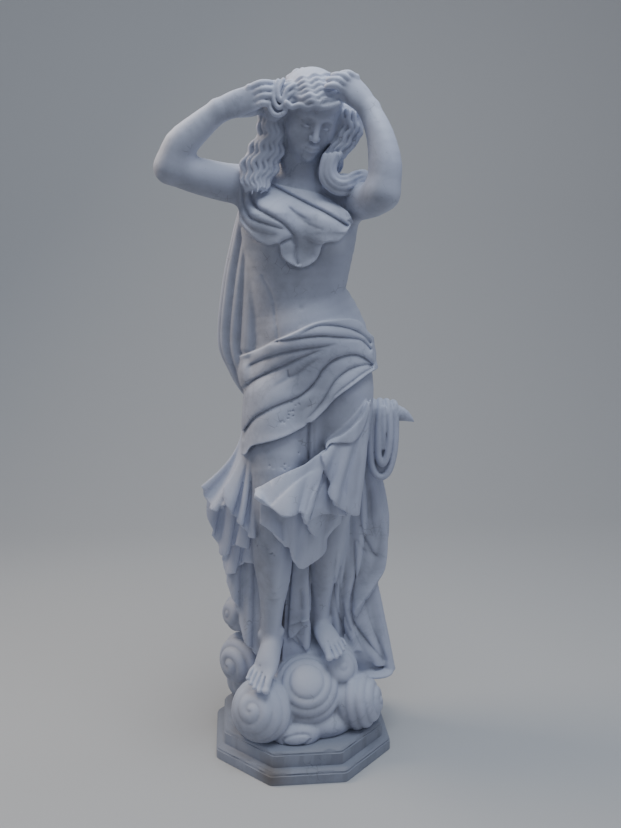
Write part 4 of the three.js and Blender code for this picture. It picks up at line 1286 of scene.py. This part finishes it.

# ---------------------------------------------------------------- plinth
# A low octagonal slab in two steps, sawn and honed. A thin fillet and a bevel are worked along the top edge
# of each step. The clouds are bedded on it.

PLINTH_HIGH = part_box("plinth")[1]
LOWER_HALF = PLINTH_HIGH[0] * 1000
TOP = PLINTH_HIGH[2] * 1000
UPPER_HALF = LOWER_HALF - 21
LEDGE = 34
FILLET = 2.5
BEVEL = 4
SIDE_CUTS = 28
MOULDING = [
    (LOWER_HALF - 1, 0),
    (LOWER_HALF, 1),
    (LOWER_HALF, LEDGE - 10),
    (LOWER_HALF - 0.7, LEDGE - 9),
    (LOWER_HALF - FILLET, LEDGE - 8.6),
    (LOWER_HALF - FILLET - 0.2, LEDGE - BEVEL),
    (LOWER_HALF - FILLET - BEVEL, LEDGE - 0.6),
    (LOWER_HALF - FILLET - BEVEL - 1.5, LEDGE),
    (UPPER_HALF + 1.5, LEDGE + 1.2),
    (UPPER_HALF, LEDGE + 2.4),
    (UPPER_HALF, TOP - 10),
    (UPPER_HALF - 0.7, TOP - 9),
    (UPPER_HALF - FILLET, TOP - 8.6),
    (UPPER_HALF - FILLET - 0.2, TOP - BEVEL),
    (UPPER_HALF - FILLET - BEVEL, TOP - 0.6),
    (UPPER_HALF - FILLET - BEVEL - 1.5, TOP),
]


def octagon(half, z):
    """Points round an octagon with flats across X and Y, its corners worn a little."""
    corner = half / math.cos(math.pi / 8)
    turn = math.pi / 8 + np.arange(9) * math.pi / 4
    corners = corner * np.stack([np.cos(turn), np.sin(turn)], axis=1)
    t = np.arange(SIDE_CUTS)[:, None] / SIDE_CUTS
    ring = np.vstack([a + (b - a) * t for a, b in zip(corners, corners[1:])])
    ring = (np.roll(ring, 1, axis=0) + 2 * ring + np.roll(ring, -1, axis=0)) / 4
    return np.hstack([ring, np.full((len(ring), 1), z)])


rings = [octagon(half, z) for half, z in MOULDING]
random = np.random.default_rng(7)
for ring, (half, z) in zip(rings[3:7] + rings[11:15], MOULDING[3:7] + MOULDING[11:15]):
    bites = np.convolve(np.tile(random.random(len(ring)), 3) ** 14, (0.3, 0.7, 1, 0.7, 0.3), mode="same")
    ring[:, :2] *= 1 - 0.010 * np.clip(bites[len(ring) : 2 * len(ring)], 0, 1)[:, None]
count = len(rings[0])
corners = [tuple(p / 1000) for ring in rings for p in ring]
faces = [
    (r * count + s, r * count + (s + 1) % count, (r + 1) * count + (s + 1) % count, (r + 1) * count + s)
    for r in range(len(rings) - 1)
    for s in range(count)
]
faces.append(tuple(reversed(range(count))))
faces.append(tuple(range((len(rings) - 1) * count, len(rings) * count)))
slab_mesh = bpy.data.meshes.new("octagonal_plinth")
slab_mesh.from_pydata(corners, [], faces)
plinth = place("octagonal_plinth", slab_mesh)
plinth.data.shade_smooth()
sharp = plinth.modifiers.new("crisp arrises", "EDGE_SPLIT")
sharp.split_angle = math.radians(38)
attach(plinth, "root")
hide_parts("plinth")
# Darker tones for the plinth's marble, the last of them its painted top light.
PLINTH_TONES = ((0.34, 0.365, 0.45, 1), (0.25, 0.275, 0.35, 1), (0.32, 0.355, 0.43, 1))
plinth.data.materials.append(marble_finish("stained_marble", PLINTH_TONES,
                                           damp=(-0.095, -0.225, 0.02, 0.055)).material)

# ---------------------------------------------------------------- floor, backdrop and light
# A plain pale floor that turns up into a plain backdrop, and soft light from large lamps.

WALL_AT = 3.4
WALL_HIGH = 6.0
FLOOR_NEAR = -6.0
HALF_WIDE = 8.0
BEND = 1.6
BEND_STEPS = 24
profile = [(FLOOR_NEAR, 0.0), (WALL_AT - BEND, 0.0)]
for step in range(1, BEND_STEPS):
    a = math.pi / 2 * step / BEND_STEPS
    profile.append((WALL_AT - BEND + BEND * math.sin(a), BEND - BEND * math.cos(a)))
profile += [(WALL_AT, BEND), (WALL_AT, WALL_HIGH)]
sweep = [(x, y, z) for y, z in profile for x in (-HALF_WIDE, HALF_WIDE)]
backdrop_mesh = bpy.data.meshes.new("floor")
backdrop_mesh.from_pydata(sweep, [],
                          [(2 * k, 2 * k + 1, 2 * k + 3, 2 * k + 2) for k in range(len(profile) - 1)])
floor = place("floor", backdrop_mesh)
floor.data.shade_smooth()
floor_finish = Finish("pale_floor")
floor_finish.shader.inputs["Base Color"].default_value = (0.62, 0.63, 0.64, 1)
floor_finish.shader.inputs["Roughness"].default_value = 0.8
floor.data.materials.append(floor_finish.material)
world = bpy.data.worlds.new("studio")
world.use_nodes = True
world.node_tree.nodes["Background"].inputs["Color"].default_value = (0.76, 0.81, 0.93, 1)
world.node_tree.nodes["Background"].inputs["Strength"].default_value = 0.35
bpy.context.scene.world = world
for name, energy, size, colour, place_at, aim in (
    ("over her", 46, 1.6, (0.86, 0.93, 1.0), (0.3, -0.6, 3.5), (0, 0, 1.2)),
    ("behind the lifted arm", 24, 0.9, (1.0, 0.85, 0.66), (-1.5, 0.35, 2.5), (-0.3, -0.05, 1.5)),
):
    lamp = bpy.data.lights.new(name, "AREA")
    lamp.energy = energy
    lamp.size = size
    lamp.color = colour
    lamp_object = bpy.data.objects.new(name, lamp)
    lamp_object.location = place_at
    lamp_object.rotation_euler = (Vector(aim) - Vector(place_at)).to_track_quat("-Z", "Y").to_euler()
    bpy.context.scene.collection.objects.link(lamp_object)
